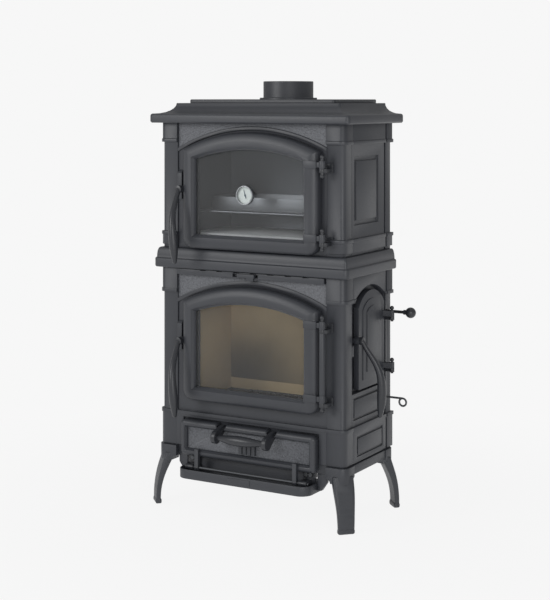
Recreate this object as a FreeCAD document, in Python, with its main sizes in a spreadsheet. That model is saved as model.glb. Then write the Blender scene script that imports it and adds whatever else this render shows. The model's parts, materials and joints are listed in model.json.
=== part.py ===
import FreeCAD, Part
import math
import os
import Sketcher

# A cast iron wood stove with a glazed oven above the fire, on four legs.
# X runs to the right seen from the front, Y to the back, Z up, in millimetres.
# Pieces are laid out from the middle of the body's front plane on the floor, and
# every piece is then moved so that the origin is the middle of the footprint box.

os.makedirs("parts", exist_ok=True)
doc = FreeCAD.newDocument("stove")

# ---------------------------------------------------------------- driving sizes
DRIVING_SIZES = {
    # body shell
    "body_width": 616,
    "body_depth": 300,
    "corner_radius": 18,
    "post_face": 59,
    "post_side": 49,
    "rear_post_side": 32,
    "rear_block_out": 5,
    "post_wall": 12,
    "shaft_inset": 4.5,
    "lip_height": 10,
    "lip_out": 2.5,
    "panel_recess": 8,
    "panel_wall": 10,
    "panel_seam": 9,
    "seam_depth": 5,
    "seam_height": 4,
    "plate_gap": 0.3,
    # heights above the floor
    "leg_height": 150,
    "base_height": 24,
    "base_out": 5,
    "base_block": 105,
    "foot_out": 18,
    "foot_width": 48,
    "foot_thickness": 18,
    "firebox_height": 525,
    "lower_cap": 73,
    "ledge_height": 58,
    "ledge_band": 28,
    "ledge_out": 15,
    "ledge_plate": 12,
    "neck_height": 9,
    "upper_block": 39,
    "oven_height": 369,
    "upper_cap": 57,
    # top and flue
    "top_overhang": 25,
    "top_lip": 27,
    "top_plate": 8,
    "cove_rise": 31,
    "cove_inset": 58,
    "cover_width": 490,
    "cover_thickness": 11,
    "finger_hole_radius": 18,
    "flue_radius": 75,
    "flue_wall": 5,
    "flue_height": 54,
    "flue_flange": 11,
    "flue_setback": 72,
    # front doors
    "door_left_gap": 33,
    "door_right_gap": 17,
    "door_rise": 50,
    "fire_door_head": 42,
    "oven_door_head": 25,
    "oven_door_lift": 3,
    "door_front": 30,
    "door_back": 5,
    "door_corner": 34,
    "frame_side": 44,
    "frame_bottom": 42,
    "frame_top": 50,
    "opening_rise": 30,
    "fire_door_bottom": 316,
    "glass_thickness": 4,
    "glass_lap": 17,
    "seal_width": 7.4,
    "hinge_out": 18,
    "pin_radius": 5,
    "running_gap": 0.05,
    "knuckle_radius": 9,
    "knuckle_height": 22,
    "upper_knuckle_drop": 37,
    "lower_knuckle": 50,
    "handle_level": 172,
    "handle_drop": 212,
    "handle_reach": 57,
    "handle_lean": 20,
    "grip_radius": 13,
    "hub_out": 8,
    # thermometer
    "dial_radius": 24,
    "thermometer_level": 161,
    "thermometer_aside": 11,
    # ash door and ledge
    "ash_side_gap": 25,
    "ash_mouth_gap": 44,
    "ash_door_bottom": 154,
    "ash_door_height": 104,
    "ash_rim": 18,
    "ash_hinge_level": 124,
    "ash_hinge_front": 22,
    "ash_rod_radius": 4,
    "arm_inset": 54,
    "bail_spacing": 168,
    "ledge_end_gap": 91,
    "tray_front": 55,
    "tray_level": 96,
    "tray_height": 27,
    "tray_wall": 4,
    # side door
    "side_door_front_gap": 48,
    "side_door_back_gap": 6,
    "side_door_bottom": 375,
    "side_door_spring": 606,
    "side_door_peak": 650,
    "side_recess": 20,
    "side_hinge_out": 18,
    "side_hinge_depth": 264,
    # inside
    "liner_thickness": 25,
    "grate_level": 305,
    "grate_thickness": 13,
    "oven_box_gap": 81,
    "oven_wall": 3,
    "slab_thickness": 15,
    "rack_level": 867,
    "rack_wire": 3,
    "rack_bar": 1.8,
    "tin_gap": 47,
    "tin_height": 40,
    "grate_half": 130,
    "grate_front": 76,
    "grate_back_gap": 19,
    # rods at the right
    "rod_depth": 276,
    "damper_level": 576,
    "shaker_level": 325,
    "damper_reach": 380,
    "shaker_reach": 345,
    "ball_radius": 15.5,
}

sheet = doc.addObject("Spreadsheet::Sheet", "Sizes")
for row, (alias, value) in enumerate(DRIVING_SIZES.items(), start=1):
    sheet.set(f"A{row}", alias)
    sheet.set(f"B{row}", str(value))
    sheet.setAlias(f"B{row}", alias)
doc.recompute()


class Size:
    """A number together with the sheet formula that gives it."""

    def __init__(self, number, formula):
        self.number = float(number)
        self.formula = formula

    def __float__(self):
        return self.number

    def __add__(self, other):
        other = as_size(other)
        return Size(self.number + other.number, f"({self.formula} + {other.formula})")

    def __radd__(self, other):
        return as_size(other) + self

    def __sub__(self, other):
        other = as_size(other)
        return Size(self.number - other.number, f"({self.formula} - {other.formula})")

    def __rsub__(self, other):
        return as_size(other) - self

    def __mul__(self, other):
        other = as_size(other)
        return Size(self.number * other.number, f"({self.formula} * {other.formula})")

    def __rmul__(self, other):
        return as_size(other) * self

    def __truediv__(self, other):
        other = as_size(other)
        return Size(self.number / other.number, f"({self.formula} / {other.formula})")

    def __neg__(self):
        return Size(-self.number, f"(0 - {self.formula})")

    def root(self):
        return Size(math.sqrt(self.number), f"sqrt({self.formula})")


def as_size(value):
    return value if isinstance(value, Size) else Size(value, f"({float(value)!r})")


def read(alias):
    return Size(sheet.get(alias), f"Sizes.{alias}")


class Sheet:
    """The driving sizes by name."""


S = Sheet()
for alias in DRIVING_SIZES:
    setattr(S, alias, read(alias))

# ---------------------------------------------------------------- shared places
half_width = S.body_width / 2
post_edge = half_width - S.post_face
rear_post_edge = S.body_depth - S.rear_post_side
storey_bottom = S.leg_height + S.base_height
base_block_top = storey_bottom + S.base_block
ledge_bottom = storey_bottom + S.firebox_height
lower_cap_bottom = ledge_bottom - S.lower_cap
ledge_top = ledge_bottom + S.ledge_height
top_bottom = ledge_top + S.oven_height
upper_cap_bottom = top_bottom - S.upper_cap
lip_top = top_bottom + S.top_lip
cove_top = lip_top + S.cove_rise
cover_top = cove_top + S.cover_thickness
flue_depth = S.body_depth - S.flue_setback
plate_front = S.panel_recess
plate_back = plate_front + S.panel_wall
side_face = half_width - S.shaft_inset - 0.5
side_back = side_face - S.panel_wall
back_face = S.body_depth - S.panel_recess
door_left = S.door_left_gap - post_edge
door_right = post_edge - S.door_right_gap
door_middle = (door_left + door_right) / 2
door_half = (door_right - door_left) / 2
ash_half = post_edge - S.ash_side_gap
hinge_x = door_right + S.hinge_out
hinge_y = S.door_back - S.door_front
oven_box_half = side_back - S.oven_box_gap
tray_half = half_width - S.ledge_end_gap
arm_spread = tray_half - S.arm_inset
top_half = half_width + S.top_overhang
rod_tip = S.damper_reach + S.ball_radius

ALONG_X = FreeCAD.Vector(1, 0, 0)
ALONG_Y = FreeCAD.Vector(0, 1, 0)
ALONG_Z = FreeCAD.Vector(0, 0, 1)
handle_pin = 4
hub_half = 5


def lever_shape(hub_back):
    """A door handle: hub, pin, curved neck and leaf-shaped grip; the hub's pin lies on Y."""
    drop = float(S.handle_drop)
    reach = float(S.handle_reach)
    lean = float(S.handle_lean)
    grip = float(S.grip_radius)
    stations = (
        (0.00, 0.00, 0.00, 7.0),
        (0.10, 0.24, 0.10, 7.5),
        (0.24, 0.60, 0.32, 8.5),
        (0.40, 0.88, 0.58, 10.0),
        (0.56, 0.97, 0.78, 12.0),
        (0.72, 0.96, 0.92, grip),
        (0.87, 0.92, 0.99, grip * 0.8),
        (0.97, 0.88, 1.00, grip * 0.5),
    )
    points = [FreeCAD.Vector(lean * side, -reach * out, -drop * down)
              for down, out, side, _ in stations]
    circles = []
    for index, (_, _, _, radius) in enumerate(stations):
        before = points[max(index - 1, 0)]
        after = points[min(index + 1, len(points) - 1)]
        circle = Part.Circle(points[index], after - before, radius)
        circles.append(Part.Wire([circle.toShape()]))
    grip_shape = Part.makeLoft(circles, True, False)
    tip = Part.makeSphere(grip * 0.5, points[-1])
    hub = Part.makeCylinder(11, 2 * hub_half, FreeCAD.Vector(0, -hub_half, 0), ALONG_Y)
    behind = Part.makeBox(60, 40, 60, FreeCAD.Vector(-30, hub_half, -30))
    lever = hub.multiFuse([grip_shape, tip]).cut(behind)
    pin = Part.makeCylinder(handle_pin, hub_back + 3, FreeCAD.Vector(), ALONG_Y)
    cam = Part.makeBox(19, 2.7, 12, FreeCAD.Vector(-15, hub_back + 0.3, -6))
    return lever.multiFuse([pin, cam]).removeSplitter()


# a foot is a rounded rectangle set across the corner, so its reach past the corner is
# measured along the diagonal
foot_round = S.foot_thickness * 0.28
foot_reach = (S.foot_out + S.foot_width / 2) * math.sqrt(0.5) - foot_round * (math.sqrt(2) - 1)

# the footprint box: left feet to the ball knob, the door handles' grips to the rear feet
hub_front = 1 - S.door_front
lever_out = -lever_shape(24).optimalBoundingBox().YMin
origin_x = (half_width + foot_reach - rod_tip) / 2
origin_y = (lever_out - hub_front - (S.body_depth + foot_reach)) / 2


# ---------------------------------------------------------------- making pieces
def bind(thing, name, value):
    thing.setExpression(name, as_size(value).formula)


def place(thing, x=0, y=0, z=0):
    bind(thing, "Placement.Base.x", origin_x + x)
    bind(thing, "Placement.Base.y", origin_y + y)
    bind(thing, "Placement.Base.z", z)
    return thing


def block(name, x, y, z):
    """A box between (low, high) pairs."""
    box = doc.addObject("Part::Box", name)
    bind(box, "Length", x[1] - x[0])
    bind(box, "Width", y[1] - y[0])
    bind(box, "Height", z[1] - z[0])
    return place(box, x[0], y[0], z[0])


AXIS_TURNS = {
    "x": FreeCAD.Rotation(FreeCAD.Vector(0, 1, 0), 90),
    "y": FreeCAD.Rotation(FreeCAD.Vector(1, 0, 0), -90),
    "z": FreeCAD.Rotation(),
}


def rod(name, radius, axis, start, length):
    """A cylinder that runs from start towards the positive end of its axis."""
    cylinder = doc.addObject("Part::Cylinder", name)
    cylinder.Placement = FreeCAD.Placement(FreeCAD.Vector(), AXIS_TURNS[axis])
    bind(cylinder, "Radius", radius)
    bind(cylinder, "Height", length)
    return place(cylinder, *start)


def ball(name, radius, centre):
    sphere = doc.addObject("Part::Sphere", name)
    bind(sphere, "Radius", radius)
    return place(sphere, *centre)


def fused(name, *things):
    union = doc.addObject("Part::MultiFuse", name)
    union.Shapes = list(things)
    union.Refine = True
    return union


def cut(name, base, *tools):
    tool = tools[0] if len(tools) == 1 else fused(f"{name}_tools", *tools)
    result = doc.addObject("Part::Cut", name)
    result.Base = base
    result.Tool = tool
    result.Refine = True
    return result


def grouped(name, *things):
    compound = doc.addObject("Part::Compound", name)
    compound.Links = list(things)
    return compound


def mirrored(name, thing, axis="x"):
    """The same piece on the other side of the body's middle plane."""
    mirror = doc.addObject("Part::Mirroring", name)
    mirror.Source = thing
    if axis == "x":
        mirror.Normal = FreeCAD.Vector(1, 0, 0)
        bind(mirror, "Base.x", origin_x)
    else:
        mirror.Normal = FreeCAD.Vector(0, 1, 0)
        bind(mirror, "Base.y", origin_y + S.body_depth / 2)
    return mirror


def shaped(name, shape):
    """A piece whose shape is worked out here, from the sheet's numbers."""
    piece = doc.addObject("Part::Feature", name)
    piece.Shape = shape
    return place(piece)


FACINGS = {"front": ("XZ_Plane", -1), "side": ("YZ_Plane", 1), "plan": ("XY_Plane", 1)}


def arc_through(start, end, radius):
    """The short arc from start to end, turning left if radius is positive."""
    chord = end - start
    right = FreeCAD.Vector(chord.y, -chord.x, 0).normalize()
    size = abs(radius)
    rise = size - math.sqrt(max(size * size - chord.Length ** 2 / 4, 0))
    middle = (start + end) / 2 + right * math.copysign(rise, radius)
    return Part.Arc(start, middle, end) if radius > 0 else Part.Arc(end, middle, start)


class Hole:
    """A round outline."""

    def __init__(self, u, v, radius):
        self.u = as_size(u)
        self.v = as_size(v)
        self.radius = as_size(radius)


def draw_hole(sketch, hole):
    centre = FreeCAD.Vector(float(hole.u), float(hole.v), 0)
    edge = sketch.addGeometry(Part.Circle(centre, FreeCAD.Vector(0, 0, 1), float(hole.radius)))
    for kind, value in (("DistanceX", hole.u), ("DistanceY", hole.v)):
        number = sketch.addConstraint(Sketcher.Constraint(kind, -1, 1, edge, 3, float(value)))
        bind(sketch, f"Constraints[{number}]", value)
    number = sketch.addConstraint(Sketcher.Constraint("Radius", edge, float(hole.radius)))
    bind(sketch, f"Constraints[{number}]", hole.radius)


def draw(sketch, corners):
    """A closed outline of corners (u, v) or (u, v, radius of the arc to the next)."""
    if isinstance(corners, Hole):
        draw_hole(sketch, corners)
        return
    count = len(corners)
    first = sketch.GeometryCount
    ends = []
    for index, corner in enumerate(corners):
        following = corners[(index + 1) % count]
        start = FreeCAD.Vector(float(corner[0]), float(corner[1]), 0)
        end = FreeCAD.Vector(float(following[0]), float(following[1]), 0)
        if len(corner) == 2:
            sketch.addGeometry(Part.LineSegment(start, end))
            ends.append((1, 2))
        else:
            sketch.addGeometry(arc_through(start, end, float(corner[2])))
            ends.append((1, 2) if float(corner[2]) > 0 else (2, 1))
    for index, corner in enumerate(corners):
        edge = first + index
        following = first + (index + 1) % count
        start_end = ends[index][0]
        sketch.addConstraint(Sketcher.Constraint(
            "Coincident", edge, ends[index][1], following, ends[(index + 1) % count][0]))
        for kind, value in (("DistanceX", corner[0]), ("DistanceY", corner[1])):
            number = sketch.addConstraint(Sketcher.Constraint(
                kind, -1, 1, edge, start_end, float(value)))
            bind(sketch, f"Constraints[{number}]", value)
        if len(corner) > 2:
            radius = as_size(corner[2])
            radius = radius if radius.number > 0 else -radius
            number = sketch.addConstraint(Sketcher.Constraint("Radius", edge, float(radius)))
            bind(sketch, f"Constraints[{number}]", radius)


class Casting:
    """A body built up from outlines that all face one way: front, side or plan."""

    def __init__(self, name, facing):
        self.name = name
        self.plane, self.sense = FACINGS[facing]
        self.body = doc.addObject("PartDesign::Body", name)
        self.count = 0
        place(self.body)

    def outline(self, level, loops):
        self.count += 1
        sketch = self.body.newObject("Sketcher::SketchObject", f"{self.name}_outline_{self.count}")
        planes = self.body.Origin.OriginFeatures
        plane = [item for item in planes if item.Role == self.plane][0]
        sketch.AttachmentSupport = [(plane, "")]
        sketch.MapMode = "FlatFace"
        bind(sketch, "AttachmentOffset.Base.z", level * self.sense)
        for loop in loops:
            draw(sketch, loop)
        return sketch

    def pad(self, start, end, *loops):
        sketch = self.outline(as_size(start), loops)
        pad = self.body.newObject("PartDesign::Pad", f"{self.name}_pad_{self.count}")
        pad.Profile = sketch
        grows = (float(end) - float(start)) * self.sense > 0
        pad.Reversed = not grows
        bind(pad, "Length", end - start if float(end) > float(start) else start - end)
        self.body.Tip = pad
        return self

    def pocket(self, start, end, *loops):
        sketch = self.outline(as_size(start), loops)
        pocket = self.body.newObject("PartDesign::Pocket", f"{self.name}_pocket_{self.count}")
        pocket.Profile = sketch
        pocket.Reversed = (float(end) - float(start)) * self.sense > 0
        bind(pocket, "Length", end - start if float(end) > float(start) else start - end)
        self.body.Tip = pocket
        return self


def rectangle(u, v):
    return [(u[0], v[0]), (u[1], v[0]), (u[1], v[1]), (u[0], v[1])]


def rounded_rectangle(u, v, radius):
    return [
        (u[0] + radius, v[0]), (u[1] - radius, v[0], radius), (u[1], v[0] + radius),
        (u[1], v[1] - radius, radius), (u[1] - radius, v[1]), (u[0] + radius, v[1], radius),
        (u[0], v[1] - radius), (u[0], v[0] + radius, radius),
    ]


def arch_radius(half, rise):
    return (half * half + rise * rise) / (rise * 2)


class Arch:
    """An upright outline with square lower corners and an arched head."""

    def __init__(self, middle, half, bottom, spring, peak):
        self.middle = as_size(middle)
        self.half = as_size(half)
        self.bottom = as_size(bottom)
        self.spring = as_size(spring)
        self.peak = as_size(peak)
        self.radius = arch_radius(self.half, self.peak - self.spring)

    def inset(self, step):
        """The outline that runs everywhere step inside this one."""
        radius = self.radius - step
        half = self.half - step
        centre = self.peak - self.radius
        spring = centre + (radius * radius - half * half).root()
        return Arch(self.middle, half, self.bottom + step, spring, self.peak - step)

    def corners(self):
        left = self.middle - self.half
        right = self.middle + self.half
        return [(left, self.bottom), (right, self.bottom), (right, self.spring, self.radius),
                (left, self.spring)]

    def wire(self, level, corner=0):
        """The outline as a wire in the upright plane y = level, lower corners rounded."""
        left = float(self.middle - self.half)
        right = float(self.middle + self.half)
        middle = float(self.middle)
        bottom = float(self.bottom)
        spring = float(self.spring)
        peak = float(self.peak)
        cut_back = corner * (1 - math.sqrt(0.5))

        def at(x, z):
            return FreeCAD.Vector(x, level, z)

        edges = [Part.LineSegment(at(left + corner, bottom), at(right - corner, bottom))]
        if corner:
            edges.append(Part.Arc(at(right - corner, bottom), at(right - cut_back, bottom + cut_back),
                                  at(right, bottom + corner)))
        edges.append(Part.LineSegment(at(right, bottom + corner), at(right, spring)))
        edges.append(Part.Arc(at(right, spring), at(middle, peak), at(left, spring)))
        edges.append(Part.LineSegment(at(left, spring), at(left, bottom + corner)))
        if corner:
            edges.append(Part.Arc(at(left, bottom + corner), at(left + cut_back, bottom + cut_back),
                                  at(left + corner, bottom)))
        return Part.Wire([edge.toShape() for edge in edges])

    def prism(self, front, back, corner=0):
        face = Part.Face(self.wire(front, corner))
        return face.extrude(FreeCAD.Vector(0, back - front, 0))


def vector(x, y, z):
    return FreeCAD.Vector(float(x), float(y), float(z))


def cylinder_shape(radius, base, axis, length):
    return Part.makeCylinder(float(radius), float(length), base, axis)


def box_shape(x, y, z):
    low = vector(x[0], y[0], z[0])
    high = vector(x[1], y[1], z[1])
    size = high - low
    return Part.makeBox(size.x, size.y, size.z, low)


def fuse_shapes(shapes):
    return shapes[0].multiFuse(shapes[1:]).removeSplitter() if len(shapes) > 1 else shapes[0]


# ---------------------------------------------------------------- base and legs
base_front = plate_front
base_frame = Casting("base_frame_casting", "plan")
base_edge = half_width + S.base_out - 2
base_frame.pad(S.leg_height, storey_bottom,
               rectangle((-base_edge, base_edge), (base_front, S.body_depth + S.base_out - 2)),
               rectangle((-(half_width - 22), half_width - 22),
                         (base_front + 20, S.body_depth - 22)))
base_frame.pad(storey_bottom - 8, storey_bottom,
               rectangle((-(half_width - 22), half_width - 22),
                         (base_front + 20, S.body_depth - 22)))
for side in (-1, 1):
    corner_x = (side * post_edge, side * (base_edge + 1))
    low, high = sorted(corner_x, key=float)
    base_frame.pocket(S.leg_height, storey_bottom,
                      rectangle((low, high), (base_front - 1, S.post_side)))
    base_frame.pocket(S.leg_height, storey_bottom,
                      rectangle((low, high), (S.body_depth - S.post_side,
                                              S.body_depth + S.base_out + 1)))


def corner_plan(inset):
    """Plan of the front left corner: an L with a rounded outer corner."""
    left = -half_width + inset
    front = as_size(inset)
    radius = S.corner_radius - inset
    wall = S.post_wall
    return [
        (left + radius, front), (-post_edge, front), (-post_edge, wall),
        (-half_width + wall, wall), (-half_width + wall, S.post_side),
        (left, S.post_side), (left, front + radius, radius),
    ]


def leg_shape():
    """The front left leg: a curved slab that sweeps out to a toe."""
    centre = vector(-half_width, 0, 0)
    out = FreeCAD.Vector(-1, -1, 0).normalize()
    across = FreeCAD.Vector(1, -1, 0).normalize()
    top = float(S.leg_height)
    toe_out = float(S.foot_out)
    wide = float(S.foot_width)
    thick = float(S.foot_thickness)
    stations = (
        (top, toe_out - 29, 30.0, wide + 12),
        (top * 0.80, toe_out - 20, 24.0, wide + 12),
        (top * 0.60, toe_out - 11, 19.0, wide + 8),
        (top * 0.40, toe_out - 5, thick - 2.5, wide + 3),
        (top * 0.20, toe_out - 2, thick - 4, wide),
        (8.0, toe_out - 2, thick - 4.5, wide - 2),
    )
    wires = []
    for station in stations:
        wires.append(slab_section(centre, out, across, *station))
    curved = Part.makeLoft(wires, True, False)
    toe = Part.makeLoft([
        slab_section(centre, out, across, 0.0, toe_out - 2, thick - 3, wide - 4),
        slab_section(centre, out, across, 3.0, toe_out, thick, wide),
        slab_section(centre, out, across, 9.0, toe_out, thick, wide),
        slab_section(centre, out, across, 13.0, toe_out - 1.5, thick - 3, wide - 2),
    ], True, True)
    return curved, toe


def slab_section(centre, out, across, height, outer, thick, wide):
    """A level rounded rectangle, thick outwards and wide across."""
    radius = min(thick, wide) * 0.28
    half = wide / 2
    lift = FreeCAD.Vector(0, 0, height)

    def at(u, v):
        return centre + out * (outer - v) + across * u + lift

    bend = radius * (1 - math.sqrt(0.5))
    edges = [
        Part.LineSegment(at(-half + radius, 0), at(half - radius, 0)),
        Part.Arc(at(half - radius, 0), at(half - bend, bend), at(half, radius)),
        Part.LineSegment(at(half, radius), at(half, thick - radius)),
        Part.Arc(at(half, thick - radius), at(half - bend, thick - bend), at(half - radius, thick)),
        Part.LineSegment(at(half - radius, thick), at(-half + radius, thick)),
        Part.Arc(at(-half + radius, thick), at(-half + bend, thick - bend), at(-half, thick - radius)),
        Part.LineSegment(at(-half, thick - radius), at(-half, radius)),
        Part.Arc(at(-half, radius), at(-half + bend, bend), at(-half + radius, 0)),
    ]
    return Part.Wire([edge.toShape() for edge in edges])


def leg_block_shape():
    """The block on top of a leg, with a scroll under each end."""
    front = -float(S.base_out)
    left = float(-half_width) + front
    radius = float(S.corner_radius + S.base_out)
    low = float(S.leg_height) - 20
    high = float(storey_bottom)
    face = float(S.post_face + S.base_out)
    side = float(S.post_side)
    bend = radius * (1 - math.sqrt(0.5))
    edges = [
        Part.LineSegment(vector(left + radius, front, low), vector(left + face, front, low)),
        Part.LineSegment(vector(left + face, front, low), vector(left + face, 22, low)),
        Part.LineSegment(vector(left + face, 22, low), vector(left + 27, side, low)),
        Part.LineSegment(vector(left + 27, side, low), vector(left, side, low)),
        Part.LineSegment(vector(left, side, low), vector(left, front + radius, low)),
        Part.Arc(vector(left, front + radius, low), vector(left + bend, front + bend, low),
                 vector(left + radius, front, low)),
    ]
    outline = Part.Face(Part.Wire([edge.toShape() for edge in edges]))
    solid = outline.extrude(FreeCAD.Vector(0, 0, high - low))
    scoop_radius = 17.0
    front_scoop = cylinder_shape(scoop_radius, vector(left + face + 2, front - 5, low - 2),
                                 ALONG_Y, 80)
    side_scoop = cylinder_shape(scoop_radius, vector(left - 5, side + 2, low - 2), ALONG_X, 80)
    solid = solid.cut(front_scoop.fuse(side_scoop))
    front_scroll = cylinder_shape(5.5, vector(left + face - 5.5, front + 0.5, low + 16),
                                  ALONG_Y, 20)
    side_scroll = cylinder_shape(5.5, vector(left + 0.5, side - 5.5, low + 16), ALONG_X, 20)
    return solid.fuse(front_scroll).fuse(side_scroll).removeSplitter()


leg_curve, leg_toe = leg_shape()
front_left_leg = shaped("front_left_leg", fuse_shapes([leg_block_shape(), leg_curve, leg_toe]))
front_right_leg = mirrored("front_right_leg", front_left_leg)
rear_left_leg = mirrored("rear_left_leg", front_left_leg, "y")
rear_right_leg = mirrored("rear_right_leg", front_right_leg, "y")
legs = grouped("legs", front_left_leg, front_right_leg, rear_left_leg, rear_right_leg)


# ---------------------------------------------------------------- corner posts
def rear_corner_plan(inset):
    """Plan of the rear left corner: an L with a square outer corner."""
    left = -half_width + inset
    wall = S.post_wall
    back = S.body_depth if float(inset) > 0 else S.body_depth + S.rear_block_out - inset
    inner = S.body_depth - wall
    return [
        (left, rear_post_edge), (-half_width + wall, rear_post_edge), (-half_width + wall, inner),
        (-post_edge, inner), (-post_edge, back), (left, back),
    ]


def post(name, levels, plan):
    """One left post: a list of (bottom, top, inset) steps of one plan."""
    casting = Casting(name, "plan")
    for bottom, top, inset in levels:
        casting.pad(bottom, top, plan(as_size(inset)))
    return casting.body


lower_levels = (
    (storey_bottom, storey_bottom + S.seam_height, S.seam_depth),
    (storey_bottom + S.seam_height, base_block_top - S.lip_height, 0),
    (base_block_top - S.lip_height, base_block_top, -S.lip_out),
    (base_block_top, lower_cap_bottom, S.shaft_inset),
    (lower_cap_bottom, lower_cap_bottom + S.lip_height, -S.lip_out),
    (lower_cap_bottom + S.lip_height, ledge_bottom, 0),
)
upper_levels = (
    (ledge_top, ledge_top + S.neck_height, S.shaft_inset),
    (ledge_top + S.neck_height, ledge_top + S.neck_height + S.upper_block - S.lip_height, 0),
    (ledge_top + S.neck_height + S.upper_block - S.lip_height,
     ledge_top + S.neck_height + S.upper_block, -S.lip_out),
    (ledge_top + S.neck_height + S.upper_block, upper_cap_bottom, S.shaft_inset),
    (upper_cap_bottom, upper_cap_bottom + S.lip_height, -S.lip_out),
    (upper_cap_bottom + S.lip_height, top_bottom, 0),
)


def four_posts(storey, levels, holes=()):
    """The four posts of one storey; holes go through the rear right one."""
    front_left = post(f"{storey}_front_left_post", levels, corner_plan)
    front_right = mirrored(f"{storey}_front_right_post", front_left)
    rear_left = post(f"{storey}_rear_left_post", levels, rear_corner_plan)
    rear_right = mirrored(f"{storey}_rear_right_post", rear_left)
    if holes:
        rear_right = cut(f"{storey}_rear_right_drilled_post", rear_right, *holes)
    return grouped(f"{storey}_posts", front_left, front_right, rear_left, rear_right)


bush_radius = as_size(7.5)
rod_levels = {"damper": S.damper_level, "shaker": S.shaker_level}
bush_holes = []
for rod_name, level in rod_levels.items():
    bush_holes.append(rod(f"{rod_name}_bush_hole", bush_radius, "x",
                          (half_width - S.post_wall - 5, S.rod_depth, level), S.post_wall + 20))
lower_posts = four_posts("lower", lower_levels, bush_holes)
upper_posts = four_posts("upper", upper_levels)

# ---------------------------------------------------------------- front plates
fire_door_peak = ledge_bottom - S.fire_door_head
fire_door = Arch(door_middle, door_half, S.fire_door_bottom, fire_door_peak - S.door_rise,
                 fire_door_peak)
oven_door_peak = top_bottom - S.oven_door_head
oven_door = Arch(door_middle, door_half, ledge_top + S.oven_door_lift, oven_door_peak - S.door_rise,
                 oven_door_peak)


def glass_opening(door):
    peak = door.peak - S.frame_top
    return Arch(door.middle, door.half - S.frame_side, door.bottom + S.frame_bottom,
                peak - S.opening_rise, peak)


def ridge_band(door, edge, lower, upper):
    """A moulding band over a door, between the posts: rise lower to upper."""
    centre = door.peak - door.radius
    inner = door.radius + lower
    outer = door.radius + upper

    def level(radius, x):
        aside = x - door.middle
        return centre + (radius * radius - aside * aside).root()

    return [(-edge, level(inner, -edge), -inner), (edge, level(inner, edge)),
            (edge, level(outer, edge), outer), (-edge, level(outer, -edge))]


def front_plate(name, door, bottom, top, ridge_top):
    opening = glass_opening(door).inset(-6)
    plate = Casting(name, "front")
    plate.pad(plate_back, plate_front,
              rectangle((-post_edge, post_edge), (bottom, top)), opening.corners())
    plate.pad(plate_front, plate_front - 5, ridge_band(door, post_edge, 6, ridge_top))
    return plate


lower_front_plate = front_plate("lower_front_plate", fire_door, storey_bottom, ledge_bottom, 16)
ash_top = S.ash_door_bottom + S.ash_door_height
lower_front_plate.pad(plate_front, as_size(0),
                      rectangle((-post_edge, post_edge), (ash_top + 4, base_block_top)))
for side in (-1, 1):
    band_sides = sorted((side * (ash_half + 2), side * post_edge), key=float)
    lower_front_plate.pad(plate_front, as_size(0),
                          rectangle(band_sides, (storey_bottom + S.seam_height, ash_top + 4)))
lower_front_plate.pad(as_size(0), -S.lip_out,
                      rectangle((-post_edge, post_edge),
                                (base_block_top - S.lip_height, base_block_top)))
ash_mouth_half = post_edge - S.ash_mouth_gap
ash_mouth = rectangle((-ash_mouth_half, ash_mouth_half), (storey_bottom - 1, storey_bottom + 70))
lower_front_plate.pocket(plate_front, plate_back, ash_mouth)
guide_low = ledge_bottom - 18
guide_high = ledge_bottom - 2
air_slot_pitch = 20
air_slot_level = (guide_low + guide_high) / 2
air_slots = []
for index in range(-4, 5):
    slot_middle = as_size(index * air_slot_pitch)
    air_slots.append(rectangle((slot_middle - 4.5, slot_middle + 4.5),
                               (air_slot_level - 3, air_slot_level + 3)))
lower_front_plate.pocket(plate_front, plate_back, *air_slots)
upper_front_plate = front_plate("upper_front_plate", oven_door, ledge_top, top_bottom, 16)

# ---------------------------------------------------------------- air slider
# the slider's slots line up with the plate's, and are covered when it is pushed aside
window_low = as_size(-53)
window_high = as_size(32)
knob_low = as_size(-35)
knob_high = as_size(21)
notch_first = -165
notch_pitch = 57
notch_width = 20
air_guide = Casting("air_guide", "front")
air_guide.pad(plate_front, plate_front - 14,
              rectangle((-post_edge + 4, post_edge - 4), (guide_low, guide_high)))
air_guide.pocket(plate_front, plate_front - 8,
                 rectangle((-post_edge + 10, post_edge - 10), (guide_low + 3, guide_high - 3)))
air_guide.pocket(plate_front - 14, plate_front - 8,
                 rectangle((window_low, window_high), (guide_low + 3, guide_high - 3)))
notches = []
for index in range(7):
    notch_low = as_size(notch_first + index * notch_pitch)
    notches.append(rectangle((notch_low, notch_low + notch_width), (guide_high - 2, guide_high + 1)))
air_guide.pocket(plate_front - 14, plate_front, *notches)
air_slider = Casting("air_slider", "front")
slider_front = plate_front - S.plate_gap - 4
slider_low = guide_low + 3 + S.plate_gap
slider_high = guide_high - 3 - S.plate_gap
air_slider.pad(slider_front, plate_front - S.plate_gap,
               rectangle((as_size(-110), as_size(110)), (slider_low, slider_high)), *air_slots)
air_slider.pad(slider_front, plate_front - 19,
               rectangle((knob_low, knob_high), (slider_low, slider_high)))
air_slider.pad(plate_front - 14 - S.plate_gap, plate_front - 19,
               rectangle((knob_high - 25, knob_high - 2), (guide_low - 6, slider_low + 4)))

# ---------------------------------------------------------------- side panels
panel_front = S.post_side
panel_back = rear_post_edge
panel_rebate = panel_back - S.panel_seam
panel_middle = (panel_front + panel_back) / 2
side_recess_face = side_face - S.side_recess
band_face = half_width + S.lip_out


def frame_groove(u, v, width):
    """Two loops that leave a groove of this width between them."""
    return (rectangle(u, v), rectangle((u[0] + width, u[1] - width), (v[0] + width, v[1] - width)))


def side_panel(name, side, low, high, seam):
    """A flat panel with a sunk seam along its rear edge, and one below if seam says so."""
    casting = Casting(name, "side")
    sunk_face = side_face - S.seam_depth
    casting.pad(side_back * side, sunk_face * side, rectangle((panel_front, panel_back), (low, high)))
    casting.pad(sunk_face * side, side_face * side,
                rectangle((panel_front, panel_rebate), (low + seam, high)))
    return casting


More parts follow.
